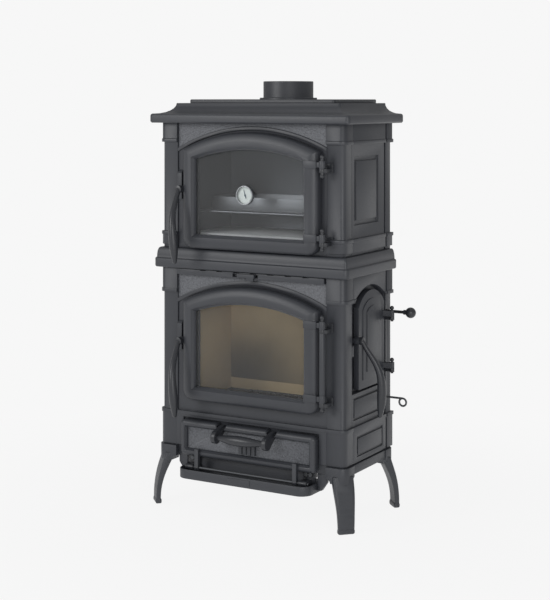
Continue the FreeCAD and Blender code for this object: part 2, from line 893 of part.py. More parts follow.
def side_band(casting, side, low, high, lip_low):
    """A band flush with the corner blocks, with their lip along one edge."""
    casting.pad(side_face * side, half_width * side, rectangle((panel_front, panel_rebate), (low, high)))
    casting.pad(half_width * side, band_face * side,
                rectangle((panel_front, panel_rebate), (lip_low, lip_low + S.lip_height)))


def lower_side_panel(name, side):
    casting = side_panel(name, side, storey_bottom, ledge_bottom, S.seam_height)
    side_band(casting, side, storey_bottom + S.seam_height, base_block_top,
              base_block_top - S.lip_height)
    side_band(casting, side, lower_cap_bottom, ledge_bottom, lower_cap_bottom)
    casting.pocket(half_width * side, (half_width - 4) * side,
                   *frame_groove((panel_front + 24, panel_rebate - 20),
                                 (storey_bottom + 18, base_block_top - 29), as_size(7)))
    casting.pocket(side_face * side, (side_face - 5) * side,
                   *frame_groove((panel_front + 12, panel_rebate - 8),
                                 (base_block_top + 16, base_block_top + 80), as_size(7)))
    return casting


side_half = (panel_back - panel_front) / 2
side_recess = Arch(panel_middle, side_half - 3, S.side_door_bottom - 6, ledge_bottom - 77,
                   ledge_bottom - 32)
side_door_front = panel_front + S.side_door_front_gap
side_door_back = panel_back - S.side_door_back_gap
side_door_half = (side_door_back - side_door_front) / 2
side_door_middle = (side_door_back + side_door_front) / 2
side_door = Arch(side_door_middle, side_door_half, S.side_door_bottom, S.side_door_spring,
                 S.side_door_peak)

right_lower_panel = lower_side_panel("right_lower_panel", 1)
right_lower_panel.pad(side_back, side_recess_face - S.panel_wall, side_recess.inset(-5).corners())
right_lower_panel.pocket(band_face, side_recess_face, side_recess.corners())
side_mouth = side_door.inset(24)
right_lower_panel.pocket(side_recess_face, side_recess_face - S.panel_wall, side_mouth.corners())

left_lower_panel = lower_side_panel("left_lower_panel", -1)
arched_field = side_recess.inset(14)
left_lower_panel.pocket(-band_face, -(side_face - 5), arched_field.corners(),
                        arched_field.inset(14).corners())
left_lower_panel.pocket(-band_face, -side_face, arched_field.inset(14).corners())

field_front = panel_front + 18
field_back = panel_back - 47
field_low = ledge_top + 85
field_high = top_bottom - 91
neck_top = ledge_top + S.neck_height
block_top = neck_top + S.upper_block
for side, side_name in ((1, "right"), (-1, "left")):
    upper_panel = side_panel(f"{side_name}_upper_panel", side, ledge_top, top_bottom, as_size(0))
    side_band(upper_panel, side, neck_top, block_top, block_top - S.lip_height)
    side_band(upper_panel, side, upper_cap_bottom, top_bottom, upper_cap_bottom)
    upper_panel.pocket(side_face * side, (side_face - 6) * side,
                       *frame_groove((field_front, field_back), (field_low, field_high),
                                     as_size(13)))

# ---------------------------------------------------------------- back panels
screw_radius = as_size(3)
screws = []
for storey, low, high in (("lower", storey_bottom, ledge_bottom), ("upper", ledge_top, top_bottom)):
    back_panel = Casting(f"{storey}_back_panel", "front")
    back_panel.pad(back_face, back_face - S.panel_wall,
                   rectangle((-post_edge, post_edge), (low, high)))
    back_panel.pad(back_face, back_face + 4,
                   *frame_groove((-post_edge + 40, post_edge - 40), (low + 40, high - 40), as_size(14)))
    middle = (low + high) / 2
    for number, (u, v) in enumerate(((-1, low + 18), (0, low + 18), (1, low + 18), (-1, middle),
                                     (1, middle), (-1, high - 18), (0, high - 18), (1, high - 18))):
        screw_x = u * (post_edge - 16)
        back_panel.pocket(back_face, back_face - S.panel_wall, Hole(screw_x, v, screw_radius))
        shank = rod(f"{storey}_screw_shank_{number}", screw_radius, "y",
                    (screw_x, back_face - S.panel_wall, v), S.panel_wall + 1)
        head = doc.addObject("Part::Cone", f"{storey}_screw_head_{number}")
        head.Placement = FreeCAD.Placement(FreeCAD.Vector(), AXIS_TURNS["y"])
        bind(head, "Radius1", screw_radius * 2)
        bind(head, "Radius2", screw_radius * 1.4)
        bind(head, "Height", screw_radius)
        place(head, screw_x, back_face, v)
        screws.append(fused(f"{storey}_screw_{number}", shank, head))
grouped("panel_screws", *screws)

# ---------------------------------------------------------------- middle ledge
def plan_outline(half, front, back, radius, height):
    """A level outline with rounded front corners and a straight back edge."""
    bend = radius * (1 - math.sqrt(0.5))
    points = [
        (Part.LineSegment, (-half + radius, front), (half - radius, front)),
        (Part.Arc, (half - radius, front), (half - bend, front + bend), (half, front + radius)),
        (Part.LineSegment, (half, front + radius), (half, back)),
        (Part.LineSegment, (half, back), (-half, back)),
        (Part.LineSegment, (-half, back), (-half, front + radius)),
        (Part.Arc, (-half, front + radius), (-half + bend, front + bend), (-half + radius, front)),
    ]
    edges = []
    for maker, *corners in points:
        edges.append(maker(*[FreeCAD.Vector(x, y, height) for x, y in corners]).toShape())
    return Part.Wire(edges)


def ledge_shape():
    half = float(half_width)
    out = float(S.ledge_out)
    depth = float(S.body_depth)
    corner = 14.0
    low = float(ledge_bottom)
    band_top = low + float(S.ledge_band)
    high = float(ledge_top)

    def ring(step, height):
        return plan_outline(half + step, -step, depth, max(corner - out + step, 6), height)

    band = Part.makeLoft([ring(out - 3, low), ring(out, low + 3), ring(out, band_top - 3),
                          ring(out - 3, band_top)], True, True)
    roll_rise = high - band_top
    roll = []
    for quarter in range(7):
        angle = math.radians(15 * quarter)
        roll.append(ring(1 + (out - 6) * math.cos(angle), band_top + roll_rise * math.sin(angle)))
    moulding = band.fuse(Part.makeLoft(roll, True, True))
    inner = half - float(S.post_wall) - 6
    wall = float(S.post_wall) + 6
    plate_bottom = high - float(S.ledge_plate)
    hollow = box_shape((-inner, inner), (wall, depth - wall), (low - 1, plate_bottom))
    smoke_ways = []
    for side in (-1, 1):
        outer_x = side * (inner - 2)
        inner_x = side * (inner - 32)
        smoke_ways.append(box_shape(sorted((outer_x, inner_x)), (70, depth - 70),
                                    (plate_bottom - 1, high + 1)))
    smoke_ways.append(box_shape((-70, 70), (depth - wall - 24, depth - wall - 2),
                                (plate_bottom - 1, high + 1)))
    return moulding.cut(hollow.multiFuse(smoke_ways)).removeSplitter()


middle_ledge = shaped("middle_ledge", ledge_shape())


# ---------------------------------------------------------------- top and flue
def top_plate_shape():
    half = float(top_half)
    front = -float(S.top_overhang)
    back = float(S.body_depth + S.top_overhang)
    low = float(top_bottom)
    high = float(lip_top)
    crest = float(cove_top)
    inset = float(S.cove_inset)
    radius = 12.0

    def ring(step, height):
        return plan_outline(half - step, front + step, back, max(radius - step, 6), height)

    lip = Part.makeLoft([ring(4, low), ring(0, low + 4), ring(0, high - 6), ring(2, high - 2),
                         ring(6, high)], True, True)
    cove = []
    steps = 6
    for index in range(steps + 1):
        angle = math.radians(90 * index / steps)
        cove.append(ring(10 + (inset - 10) * math.sin(angle),
                         high + (crest - high) * (1 - math.cos(angle))))
    solid = lip.fuse(Part.makeLoft(cove, True, True))
    wall = float(S.top_plate)
    hollow_half = float(half_width) - 14
    hollow_low = box_shape((-hollow_half, hollow_half), (14, float(S.body_depth) - 14),
                           (low - 1, high))
    hollow_high = box_shape((-(half - inset - 2), half - inset - 2),
                            (front + inset + 4, float(S.body_depth) - 14), (low - 1, crest - wall))
    way = cylinder_shape(float(S.flue_radius - S.flue_wall), vector(0, flue_depth, low), ALONG_Z, 100)
    return solid.cut(hollow_low.multiFuse([hollow_high, way])).removeSplitter()


top_plate = shaped("top_plate", top_plate_shape())
cover_front = S.cove_inset - S.top_overhang + 25
cover_back = S.body_depth + S.top_overhang
cover_half = S.cover_width / 2
hole_x = cover_half - 45
hole_y = cover_front + 45
flue_clear = S.flue_radius + S.flue_flange + 0.3


def cover_shape():
    low = float(cove_top)
    high = float(cover_top)
    half = float(cover_half)
    front = float(cover_front)
    back = float(cover_back)

    def ring(step, height):
        return plan_outline(half - step, front + step, back, 10 - step, height)

    slab = Part.makeLoft([ring(0, low), ring(0, high - 3), ring(1, high - 1), ring(3, high)], True, True)
    finger_hole = cylinder_shape(S.finger_hole_radius, vector(hole_x, hole_y, low + 3), ALONG_Z, 20)
    flue_hole = cylinder_shape(flue_clear, vector(0, flue_depth, low - 1), ALONG_Z, 30)
    return slab.cut(finger_hole.fuse(flue_hole))


top_cover = shaped("top_cover", cover_shape())
flue_bore = S.flue_radius - S.flue_wall
collar_wall = rod("collar_wall", S.flue_radius, "z", (0, flue_depth, cove_top),
                  S.cover_thickness + S.flue_height)
collar_flange = rod("collar_flange", S.flue_radius + S.flue_flange, "z", (0, flue_depth, cove_top),
                    S.cover_thickness + 5)
collar_way = rod("collar_way", flue_bore, "z", (0, flue_depth, cove_top - 1),
                 S.cover_thickness + S.flue_height + 2)
flue_collar = cut("flue_collar", fused("collar_body", collar_wall, collar_flange), collar_way)


# ---------------------------------------------------------------- front doors
edge_back = float(S.door_back)
glass_seat_back = 8 - float(S.door_front) + 14
seat_inset = S.frame_side - S.glass_lap
pin_bore = S.pin_radius + S.running_gap


def knuckle_levels(door):
    """The middles of a front door's two hinge knuckles."""
    return (door.bottom + S.lower_knuckle, door.spring - S.upper_knuckle_drop)


def door_frame_shape(door):
    """A crowned frame with a rebate for the glass, hinge knuckles and a handle boss."""
    front = -float(S.door_front)
    corner = float(S.door_corner)
    crown = ((0.0, front + 20), (0.8, front + 15), (4.0, front + 9), (10.0, front + 4.5),
             (18.0, front + 1.5), (27.0, front))
    sections = []
    for step, level in crown:
        sections.append(door.inset(step).wire(level, corner - step))
    face = Part.makeLoft(sections, True, False)
    solid = face.fuse(door.prism(front + 20, edge_back, corner))
    opening = glass_opening(door)
    through = opening.prism(front - 5, edge_back + 5)
    bevel = Part.makeLoft([opening.inset(-9).wire(front - 1), opening.inset(-8).wire(front + 1),
                           opening.inset(-4).wire(front + 5), opening.wire(front + 12)], True, True)
    rebate = door.inset(16).prism(glass_seat_back, edge_back + 5, corner - 16)
    seat = door.inset(seat_inset).prism(glass_seat_back - float(S.glass_thickness),
                                        glass_seat_back + 1, corner - float(seat_inset))
    groove = door.inset(4).prism(-2, edge_back + 5, corner - 4)
    groove = groove.cut(door.inset(12.4).prism(-3, edge_back + 6, corner - 12.4))
    solid = solid.cut(through.multiFuse([bevel, rebate, seat, groove]))
    axis_x = float(hinge_x)
    axis_y = float(hinge_y)
    parts = [solid]
    knuckle_half = float(S.knuckle_height) / 2
    right = float(door_right)
    for level in knuckle_levels(door):
        level = float(level)
        parts.append(cylinder_shape(S.knuckle_radius, vector(axis_x, axis_y, level - knuckle_half),
                                    ALONG_Z, S.knuckle_height))
        parts.append(box_shape((right - 12, axis_x), (axis_y - 5, axis_y + 7), (level - 7, level + 7)))
        parts.append(box_shape((right - 38, right + 2), (axis_y - 8, axis_y + 8),
                               (level - 10, level + 10)))
    hub_level = float(door.bottom + S.handle_level)
    boss_front = float(hub_front + hub_half + S.plate_gap)
    hub_x = float(door_left - S.hub_out)
    boss = cylinder_shape(10, vector(hub_x, boss_front, hub_level), ALONG_Y, front + 24 - boss_front)
    parts.append(boss)
    solid = fuse_shapes(parts)
    bores = []
    for level in knuckle_levels(door):
        bores.append(cylinder_shape(pin_bore, vector(axis_x, axis_y, level - 30), ALONG_Z, 60))
    bores.append(cylinder_shape(handle_pin + float(S.running_gap), vector(hub_x, front - 5, hub_level),
                                ALONG_Y, 60))
    return solid.cut(bores[0].multiFuse(bores[1:]))


def lever_at(name, hub, turn, tilt=0):
    """A lever that faces the side turned to, tilted about its own pin."""
    piece = doc.addObject("Part::Feature", name)
    piece.Shape = lever_shape(24)
    facing = FreeCAD.Rotation(ALONG_Z, turn)
    piece.Placement = FreeCAD.Placement(FreeCAD.Vector(), facing * FreeCAD.Rotation(ALONG_Y, tilt))
    return place(piece, *hub)


hinge_pins = []
hinge_brackets = []
keepers = []


def front_door_pieces(name, door, post_name, glass_holes=(), one_pin=False):
    """Everything one front door needs: frame, glass, clips, seal, lever, hinge, keeper."""
    shaped(f"{name}_door_frame", door_frame_shape(door))
    pane = door.inset(seat_inset + 2.5)
    glass = Casting(f"{name}_door_glass", "front")
    seat_front = as_size(glass_seat_back) - S.glass_thickness
    glass.pad(seat_front + S.glass_thickness, seat_front, pane.corners(), *glass_holes)
    seal_back = float(plate_front - S.plate_gap)
    seal_corner = float(S.door_corner) - 4.5
    seal_width = float(S.seal_width)
    seal = door.inset(4.5).prism(-2, seal_back, seal_corner)
    seal_hole = door.inset(4.5 + seal_width).prism(-3, seal_back + 1, seal_corner - seal_width)
    shaped(f"{name}_door_seal", seal.cut(seal_hole))
    clips = []
    middle_level = (door.bottom + door.spring) / 2
    clip_outer = door.half - 17
    for side in (-1, 1):
        for number, level in enumerate((middle_level - 60, middle_level + 60)):
            clips.append(block(f"{name}_clip_{len(clips)}",
                               sorted((door.middle + side * clip_outer,
                                       door.middle + side * (clip_outer - 20)), key=float),
                               (as_size(glass_seat_back), as_size(glass_seat_back + 2.5)),
                               (level - 9, level + 9)))
    grouped(f"{name}_door_glass_clips", *clips)
    hub = (door_left - S.hub_out, hub_front, door.bottom + S.handle_level)
    lever_at(f"{name}_door_handle", hub, 0)
    finial = S.pin_radius + 1.5
    below = S.knuckle_height / 2 + 18
    above = S.knuckle_height / 2 + 8
    lower, upper = knuckle_levels(door)
    spans = [(lower - below, upper + above)] if one_pin else [(lower - below, lower + above),
                                                             (upper - below, upper + above)]
    for number, (low, high) in enumerate(spans):
        stem = rod(f"{name}_pin_stem_{number}", S.pin_radius, "z", (hinge_x, hinge_y, low), high - low)
        top_ball = ball(f"{name}_pin_top_{number}", finial, (hinge_x, hinge_y, high + 3))
        foot_ball = ball(f"{name}_pin_foot_{number}", finial, (hinge_x, hinge_y, low - 2))
        hinge_pins.append(fused(f"{name}_pin_{number}", stem, top_ball, foot_ball))
    for number, level in enumerate((lower, upper)):
        eye_top = level - S.knuckle_height / 2 - S.plate_gap
        eye = rod(f"{name}_eye_{number}", S.knuckle_radius, "z", (hinge_x, hinge_y, eye_top - 10), 10)
        arm = block(f"{name}_arm_{number}", (hinge_x, hinge_x + 16), (hinge_y - 4, S.shaft_inset),
                    (eye_top - 10, eye_top))
        foot = block(f"{name}_foot_{number}", (hinge_x + 2, hinge_x + 20),
                     (S.shaft_inset - 4, S.shaft_inset), (eye_top - 10, eye_top + 14))
        hole = rod(f"{name}_eye_bore_{number}", S.pin_radius, "z",
                   (hinge_x, hinge_y, eye_top - 20), 40)
        body = fused(f"{name}_bracket_body_{number}", eye, arm, foot)
        hinge_brackets.append(cut(f"{name}_bracket_{number}", body, hole, doc.getObject(post_name)))
    keeper_low = door.bottom + S.handle_level - 30
    keeper = Casting(f"{name}_door_keeper", "side")
    keeper.pad(-post_edge + 2, -post_edge + 18,
               [(plate_front, keeper_low), (plate_front, keeper_low + 86),
                (plate_front - 10, keeper_low + 76), (plate_front - 10, keeper_low)])
    keepers.append(keeper.body)


front_door_pieces("fire", fire_door, "lower_front_right_post", one_pin=True)
thermometer_x = door_middle - S.thermometer_aside
thermometer_z = oven_door.bottom + S.thermometer_level
stem_radius = as_size(3)
front_door_pieces("oven", oven_door, "upper_front_right_post",
                  [Hole(thermometer_x, thermometer_z, stem_radius + 0.5)])
lower_level, upper_level = knuckle_levels(fire_door)
sleeve_low = lower_level + S.knuckle_height / 2 + S.plate_gap
sleeve_high = upper_level - S.knuckle_height / 2 - 10 - 2 * S.plate_gap
sleeve = rod("hinge_sleeve_tube", S.knuckle_radius - 0.5, "z", (hinge_x, hinge_y, sleeve_low),
             sleeve_high - sleeve_low)
sleeve_bore = rod("hinge_sleeve_bore", S.pin_radius + S.running_gap, "z",
                  (hinge_x, hinge_y, sleeve_low - 1), sleeve_high - sleeve_low + 2)
cut("fire_door_hinge_sleeve", sleeve, sleeve_bore)

# ---------------------------------------------------------------- thermometer
case_back = as_size(glass_seat_back) - S.glass_thickness
case_front = case_back - 13
case_floor = case_back - 3
case_radius = S.dial_radius + 3.5
spindle = as_size(1.2)
case_body = rod("thermometer_case_body", case_radius, "y",
                (thermometer_x, case_front, thermometer_z), 13)
case_stem = rod("thermometer_stem", stem_radius, "y",
                (thermometer_x, case_back - 1, thermometer_z), 60)
case_well = rod("thermometer_well", S.dial_radius + 1, "y",
                (thermometer_x, case_front - 1, thermometer_z), 11)
case_bore = rod("thermometer_spindle_bore", spindle + S.running_gap, "y",
                (thermometer_x, case_front, thermometer_z), 12)
cut("thermometer_case", fused("thermometer_case_solid", case_body, case_stem), case_well, case_bore)
dial_body = rod("thermometer_dial_disc", S.dial_radius + 0.7, "y",
                (thermometer_x, case_floor - 1.5, thermometer_z), 1.5)
dial_hole = rod("thermometer_dial_hole", spindle + 0.4, "y",
                (thermometer_x, case_floor - 3, thermometer_z), 6)
cut("thermometer_dial", dial_body, dial_hole)
rod("thermometer_lens", S.dial_radius + 0.9, "y",
    (thermometer_x, case_front + 1, thermometer_z), 1.5)
needle_front = case_floor - 3.6
needle_rest_turn = -17


def needle_shape():
    """The pointer lies in its own X-Z plane with its spindle on Y."""
    tip = float(S.dial_radius) - 7
    outline = Part.makePolygon([FreeCAD.Vector(-1.6, 0, -9), FreeCAD.Vector(1.6, 0, -9),
                                FreeCAD.Vector(0.5, 0, tip), FreeCAD.Vector(-0.5, 0, tip),
                                FreeCAD.Vector(-1.6, 0, -9)])
    blade = Part.Face(outline).extrude(FreeCAD.Vector(0, 1, 0))
    hub = Part.makeCylinder(3, 1, FreeCAD.Vector(), ALONG_Y)
    axle = Part.makeCylinder(float(spindle), 4.6, FreeCAD.Vector(), ALONG_Y)
    return blade.multiFuse([hub, axle]).removeSplitter()


needle = doc.addObject("Part::Feature", "thermometer_needle")
needle.Shape = needle_shape()
needle.Placement = FreeCAD.Placement(FreeCAD.Vector(), FreeCAD.Rotation(ALONG_Y, needle_rest_turn))
place(needle, thermometer_x, needle_front, thermometer_z)

# ---------------------------------------------------------------- side loading door
side_door_back_face = side_recess_face + 3
side_door_face = side_face - 1
side_hinge_x = half_width + S.side_hinge_out
side_pin = as_size(4)
side_knuckle = as_size(7)
side_leaf = Casting("side_door_leaf", "side")
side_leaf.pad(side_door_back_face, side_door_face, side_door.corners())
side_leaf.pad(side_door_face, side_door_face + 2.5, side_door.inset(24).corners())
side_leaf.pad(side_door_face + 2.5, side_door_face + 5, side_door.inset(45).corners())
side_hinge_levels = (S.side_door_bottom + 46, S.side_door_spring - 34)
side_hub = (half_width + S.hub_out, side_door_front - S.hub_out, S.side_door_bottom + 141)
side_handle_tilt = 2
side_parts = [side_leaf.body]
side_bores = []
for number, level in enumerate(side_hinge_levels):
    side_parts.append(block(f"side_tongue_{number}", (side_door_face - 6, side_hinge_x),
                            (side_door_back - 10, S.side_hinge_depth), (level - 8, level + 8)))
    side_parts.append(rod(f"side_knuckle_{number}", side_knuckle, "z",
                          (side_hinge_x, S.side_hinge_depth, level - 9), as_size(18)))
    side_bores.append(rod(f"side_knuckle_bore_{number}", side_pin + S.running_gap, "z",
                          (side_hinge_x, S.side_hinge_depth, level - 20), as_size(40)))
side_parts.append(rod("side_boss", as_size(10), "x", (side_hub[0] - 23, side_hub[1], side_hub[2]),
                      23 - hub_half - S.plate_gap))
side_parts.append(block("side_boss_web", (side_hub[0] - 23, side_door_face),
                        (side_hub[1], side_door_front + 1), (side_hub[2] - 9, side_hub[2] + 9)))
side_bores.append(rod("side_boss_bore", handle_pin + S.running_gap, "x",
                      (side_hub[0] - 60, side_hub[1], side_hub[2]), as_size(80)))
cut("side_door", fused("side_door_solid", *side_parts), *side_bores)
lever_at("side_door_handle", side_hub, 90, side_handle_tilt)
side_seal = Casting("side_door_seal", "side")
side_seal.pad(side_recess_face + S.plate_gap, side_door_back_face, side_door.inset(4).corners(),
              side_door.inset(11).corners())
shaft_face = half_width - S.shaft_inset
for number, level in enumerate(side_hinge_levels):
    low = level - 9 - 14
    stem = rod(f"side_pin_stem_{number}", side_pin, "z", (side_hinge_x, S.side_hinge_depth, low),
               as_size(38))
    head = ball(f"side_pin_head_{number}", side_pin + 2,
                (side_hinge_x, S.side_hinge_depth, low + 39))
    hinge_pins.append(fused(f"side_pin_{number}", stem, head))
    eye_top = level - 9 - S.plate_gap
    eye = rod(f"side_eye_{number}", side_knuckle, "z", (side_hinge_x, S.side_hinge_depth, eye_top - 10),
              as_size(10))
    arm = block(f"side_bracket_arm_{number}", (shaft_face, side_hinge_x),
                (S.side_hinge_depth, S.side_hinge_depth + 8), (eye_top - 10, eye_top))
    hole = rod(f"side_eye_bore_{number}", side_pin, "z",
               (side_hinge_x, S.side_hinge_depth, eye_top - 20), as_size(40))
    hinge_brackets.append(cut(f"side_bracket_{number}", fused(f"side_bracket_body_{number}", eye, arm),
                              hole))
keepers.append(block("side_keeper", (side_recess_face, side_recess_face + 16),
                     (side_hub[1] - 31, side_hub[1] - 17), (side_hub[2] - 43, side_hub[2] - 12)))
grouped("door_hinge_pins", *hinge_pins)
grouped("door_hinge_brackets", *hinge_brackets)
grouped("door_keepers", *keepers)

# ---------------------------------------------------------------- ash door
ash_low = S.ash_door_bottom
ash_high = ash_top
ash_face = -S.ash_hinge_front
ash_panel_face = ash_face + 14
bail_y = float(ash_face) + 13
bail_z = float(ash_high) - 11
bail_pin = 3.0
cheek_half = 6.5
grip_y = float(ash_face) - 26
grip_z = float(ash_high) - 31


def upright_rounded(half, low, high, corner, level):
    """A rounded rectangle in an upright plane."""
    bend = corner * (1 - math.sqrt(0.5))

    def at(x, z):
        return FreeCAD.Vector(x, level, z)

    edges = [
        Part.LineSegment(at(-half + corner, low), at(half - corner, low)),
        Part.Arc(at(half - corner, low), at(half - bend, low + bend), at(half, low + corner)),
        Part.LineSegment(at(half, low + corner), at(half, high - corner)),
        Part.Arc(at(half, high - corner), at(half - bend, high - bend), at(half - corner, high)),
        Part.LineSegment(at(half - corner, high), at(-half + corner, high)),
        Part.Arc(at(-half + corner, high), at(-half + bend, high - bend), at(-half, high - corner)),
        Part.LineSegment(at(-half, high - corner), at(-half, low + corner)),
        Part.Arc(at(-half, low + corner), at(-half + bend, low + bend), at(-half + corner, low)),
    ]
    return Part.Wire([edge.toShape() for edge in edges])


def ash_door_shape():
    half = float(ash_half)
    low = float(ash_low)
    high = float(ash_high)
    face = float(ash_face)
    back = float(S.door_back)
    rim = float(S.ash_rim)
    sections = []
    for step, level in ((0.0, face + 12), (0.6, face + 8), (2.6, face + 4), (5.6, face + 1.4),
                        (9.0, face)):
        sections.append(upright_rounded(half - step, low + step, high - step, 13 - step, level))
    solid = Part.makeLoft(sections, True, False)
    slab = Part.Face(upright_rounded(half, low, high, 13, face + 12))
    solid = solid.fuse(slab.extrude(FreeCAD.Vector(0, back - face - 12, 0)))
    panel = Part.makeLoft([
        upright_rounded(half - rim + 3, low + rim - 3, high - rim + 3, 6, face - 1),
        upright_rounded(half - rim + 2, low + rim - 2, high - rim + 2, 5, face + 1),
        upright_rounded(half - rim - 2, low + rim + 2, high - rim - 2, 3, face + 6),
        upright_rounded(half - rim - 3, low + rim + 3, high - rim - 3, 3, float(ash_panel_face)),
    ], True, True)
    solid = solid.cut(panel)
    parts = []
    for index in range(4):
        left = -26 + index * 14.5
        parts.append(box_shape((left, left + 10), (float(ash_panel_face) - 9, float(ash_panel_face) + 3),
                               (low + 26, low + 59)))
    parts.append(box_shape((-26, 27.5), (float(ash_panel_face) - 5, float(ash_panel_face) + 3),
                           (low + 26, low + 59)))
    spread = float(arm_spread)
    hinge_z = float(S.ash_hinge_level)
    for side in (-1, 1):
        centre = side * spread
        parts.append(box_shape((centre - 6.5, centre + 6.5), (face - 7, face + 5), (hinge_z, low + 24)))
        parts.append(cylinder_shape(8, vector(centre - 6.5, face, hinge_z), ALONG_X, 13))
    solid = solid.multiFuse(parts).removeSplitter()
    cuts = []
    for side in (-1, 1):
        centre = side * float(S.bail_spacing) / 2
        cuts.append(cylinder_shape(18, vector(centre, face - 10, high + 1), ALONG_Y, 60))
        cuts.append(box_shape((centre - 8, centre + 8), (face - 10, float(bail_y) + 10.5),
                              (high - 23, high + 5)))
        cuts.append(cylinder_shape(bail_pin + float(S.running_gap), vector(centre - 29, bail_y, bail_z),
                                   ALONG_X, 58))
        hub = side * spread
        cuts.append(cylinder_shape(S.ash_rod_radius + S.running_gap, vector(hub - 20, face, hinge_z),
                                   ALONG_X, 40))
    return solid.cut(cuts[0].multiFuse(cuts[1:]))


shaped("ash_door", ash_door_shape())


def cheek_shape(centre):
    """One end of the bow handle: a rounded plate from the pivot to the grip."""
    left = centre - cheek_half
    small = 8.0
    large = 18.0
    pivot = FreeCAD.Vector(left, bail_y, bail_z)
    grip = FreeCAD.Vector(left, grip_y, grip_z)
    along = grip - pivot
    span = along.Length
    along.normalize()
    normal = FreeCAD.Vector(0, -along.z, along.y)
    lean = (large - small) / span
    flat = math.sqrt(1 - lean * lean)
    corners = []
    for sign in (1, -1):
        tangent = normal * (sign * flat) - along * lean
        corners.append((pivot + tangent * small, grip + tangent * large))
    outline = Part.makePolygon([corners[0][0], corners[0][1], corners[1][1], corners[1][0],
                                corners[0][0]])
    web = Part.Face(outline).extrude(FreeCAD.Vector(2 * cheek_half, 0, 0))
    parts = [Part.makeCylinder(small, 2 * cheek_half, pivot, ALONG_X),
             Part.makeCylinder(large, 2 * cheek_half, grip, ALONG_X)]
    return web.multiFuse(parts)


def bail_shape():
    half = float(S.bail_spacing) / 2
    stations = ((-1.0, 0, 7.0, 6.0), (-0.75, -4, 10.0, 8.5), (-0.4, -8, 13.5, 12.5),
                (0.0, -9, 15.0, 14.5), (0.4, -8, 13.5, 12.5), (0.75, -4, 10.0, 8.5),
                (1.0, 0, 7.0, 6.0))
    wires = []
    for along, out, deep, tall in stations:
        centre = FreeCAD.Vector(along * half, grip_y + out, grip_z)
        oval = Part.Ellipse(centre + FreeCAD.Vector(0, deep, 0), centre + FreeCAD.Vector(0, 0, tall),
                            centre)
        wires.append(Part.Wire([oval.toShape()]))
    parts = [Part.makeLoft(wires, True, False)]
    for side in (-1, 1):
        parts.append(cheek_shape(side * half))
        parts.append(Part.makeCylinder(bail_pin, 56, FreeCAD.Vector(side * half - 28, bail_y, bail_z),
                                       ALONG_X))
    return parts[0].multiFuse(parts[1:]).removeSplitter()


shaped("ash_door_handle", bail_shape())
ash_axis = (ash_face, S.ash_hinge_level)
ear_low = arm_spread + 12
ear_high = ear_low + 26
ash_plate_low = S.ash_hinge_level - 8
rod("ash_door_hinge_rod", S.ash_rod_radius, "x", (-(ear_high + 4), *ash_axis), 2 * (ear_high + 4))
ash_brackets = []
ash_bolts = []
ash_lugs = []
lug_front = base_front + 6
lug_low = S.ash_hinge_level + 10
for side, side_name in ((-1, "left"), (1, "right")):
    span = sorted((side * ear_low, side * ear_high), key=float)
    wide = sorted((side * (ear_low - 2), side * (ear_high + 8)), key=float)
    ear = rod(f"ash_ear_{side_name}", as_size(8), "x", (span[0], *ash_axis), span[1] - span[0])
    web = block(f"ash_web_{side_name}", span, (ash_face, lug_front),
                (S.ash_hinge_level - 6, S.ash_hinge_level + 6))
    plate = block(f"ash_plate_{side_name}", wide, (base_front, lug_front), (ash_plate_low, S.leg_height))
    hole = rod(f"ash_ear_bore_{side_name}", S.ash_rod_radius, "x", (span[0] - 5, *ash_axis),
               span[1] - span[0] + 10)
    tools = [hole]
    lug = block(f"ash_lug_{side_name}", wide, (lug_front, lug_front + 10),
                (lug_low, S.leg_height + 2))
    for number, step in enumerate((8, 22)):
        bolt_x = side * (ear_low + step)
        bolt_z = S.ash_hinge_level + 20
        head = doc.addObject("Part::Prism", f"ash_bolt_head_{side_name}_{number}")
        head.Polygon = 6
        head.Placement = FreeCAD.Placement(FreeCAD.Vector(), AXIS_TURNS["y"])
        bind(head, "Circumradius", 6.5)
        bind(head, "Height", 5)
        place(head, bolt_x, base_front - 5, bolt_z)
        shank = rod(f"ash_bolt_shank_{side_name}_{number}", as_size(3), "y",
                    (bolt_x, base_front - 1, bolt_z), as_size(15))
        ash_bolts.append(fused(f"ash_bolt_{side_name}_{number}", head, shank))
        tools.append(rod(f"ash_bolt_way_{side_name}_{number}", as_size(3), "y",
                         (bolt_x, base_front - 1, bolt_z), as_size(15)))
    ash_brackets.append(cut(f"ash_bracket_{side_name}",
                            fused(f"ash_bracket_body_{side_name}", ear, web, plate), *tools))
    ash_lugs.append((lug, tools[1:]))
grouped("ash_door_hinge_brackets", *ash_brackets)
grouped("ash_door_bolts", *ash_bolts)
lug_ways = ash_lugs[0][1] + ash_lugs[1][1]
base_solid = fused("base_frame_solid", base_frame.body, ash_lugs[0][0], ash_lugs[1][0])
cut("base_frame", base_solid, *lug_ways)

# ---------------------------------------------------------------- ash ledge in front
tray_top = S.tray_level + S.tray_height
tray_back = as_size(base_front + 22)
tray_corner = as_size(34)


def tray_plan(inset):
    """The ledge's plan: round front corners and a straight back."""
    half = tray_half - inset
    front = inset - S.tray_front
    radius = tray_corner - inset
    return [(-half + radius, front), (half - radius, front, radius), (half, front + radius),
            (half, tray_back), (-half, tray_back), (-half, front + radius, radius)]


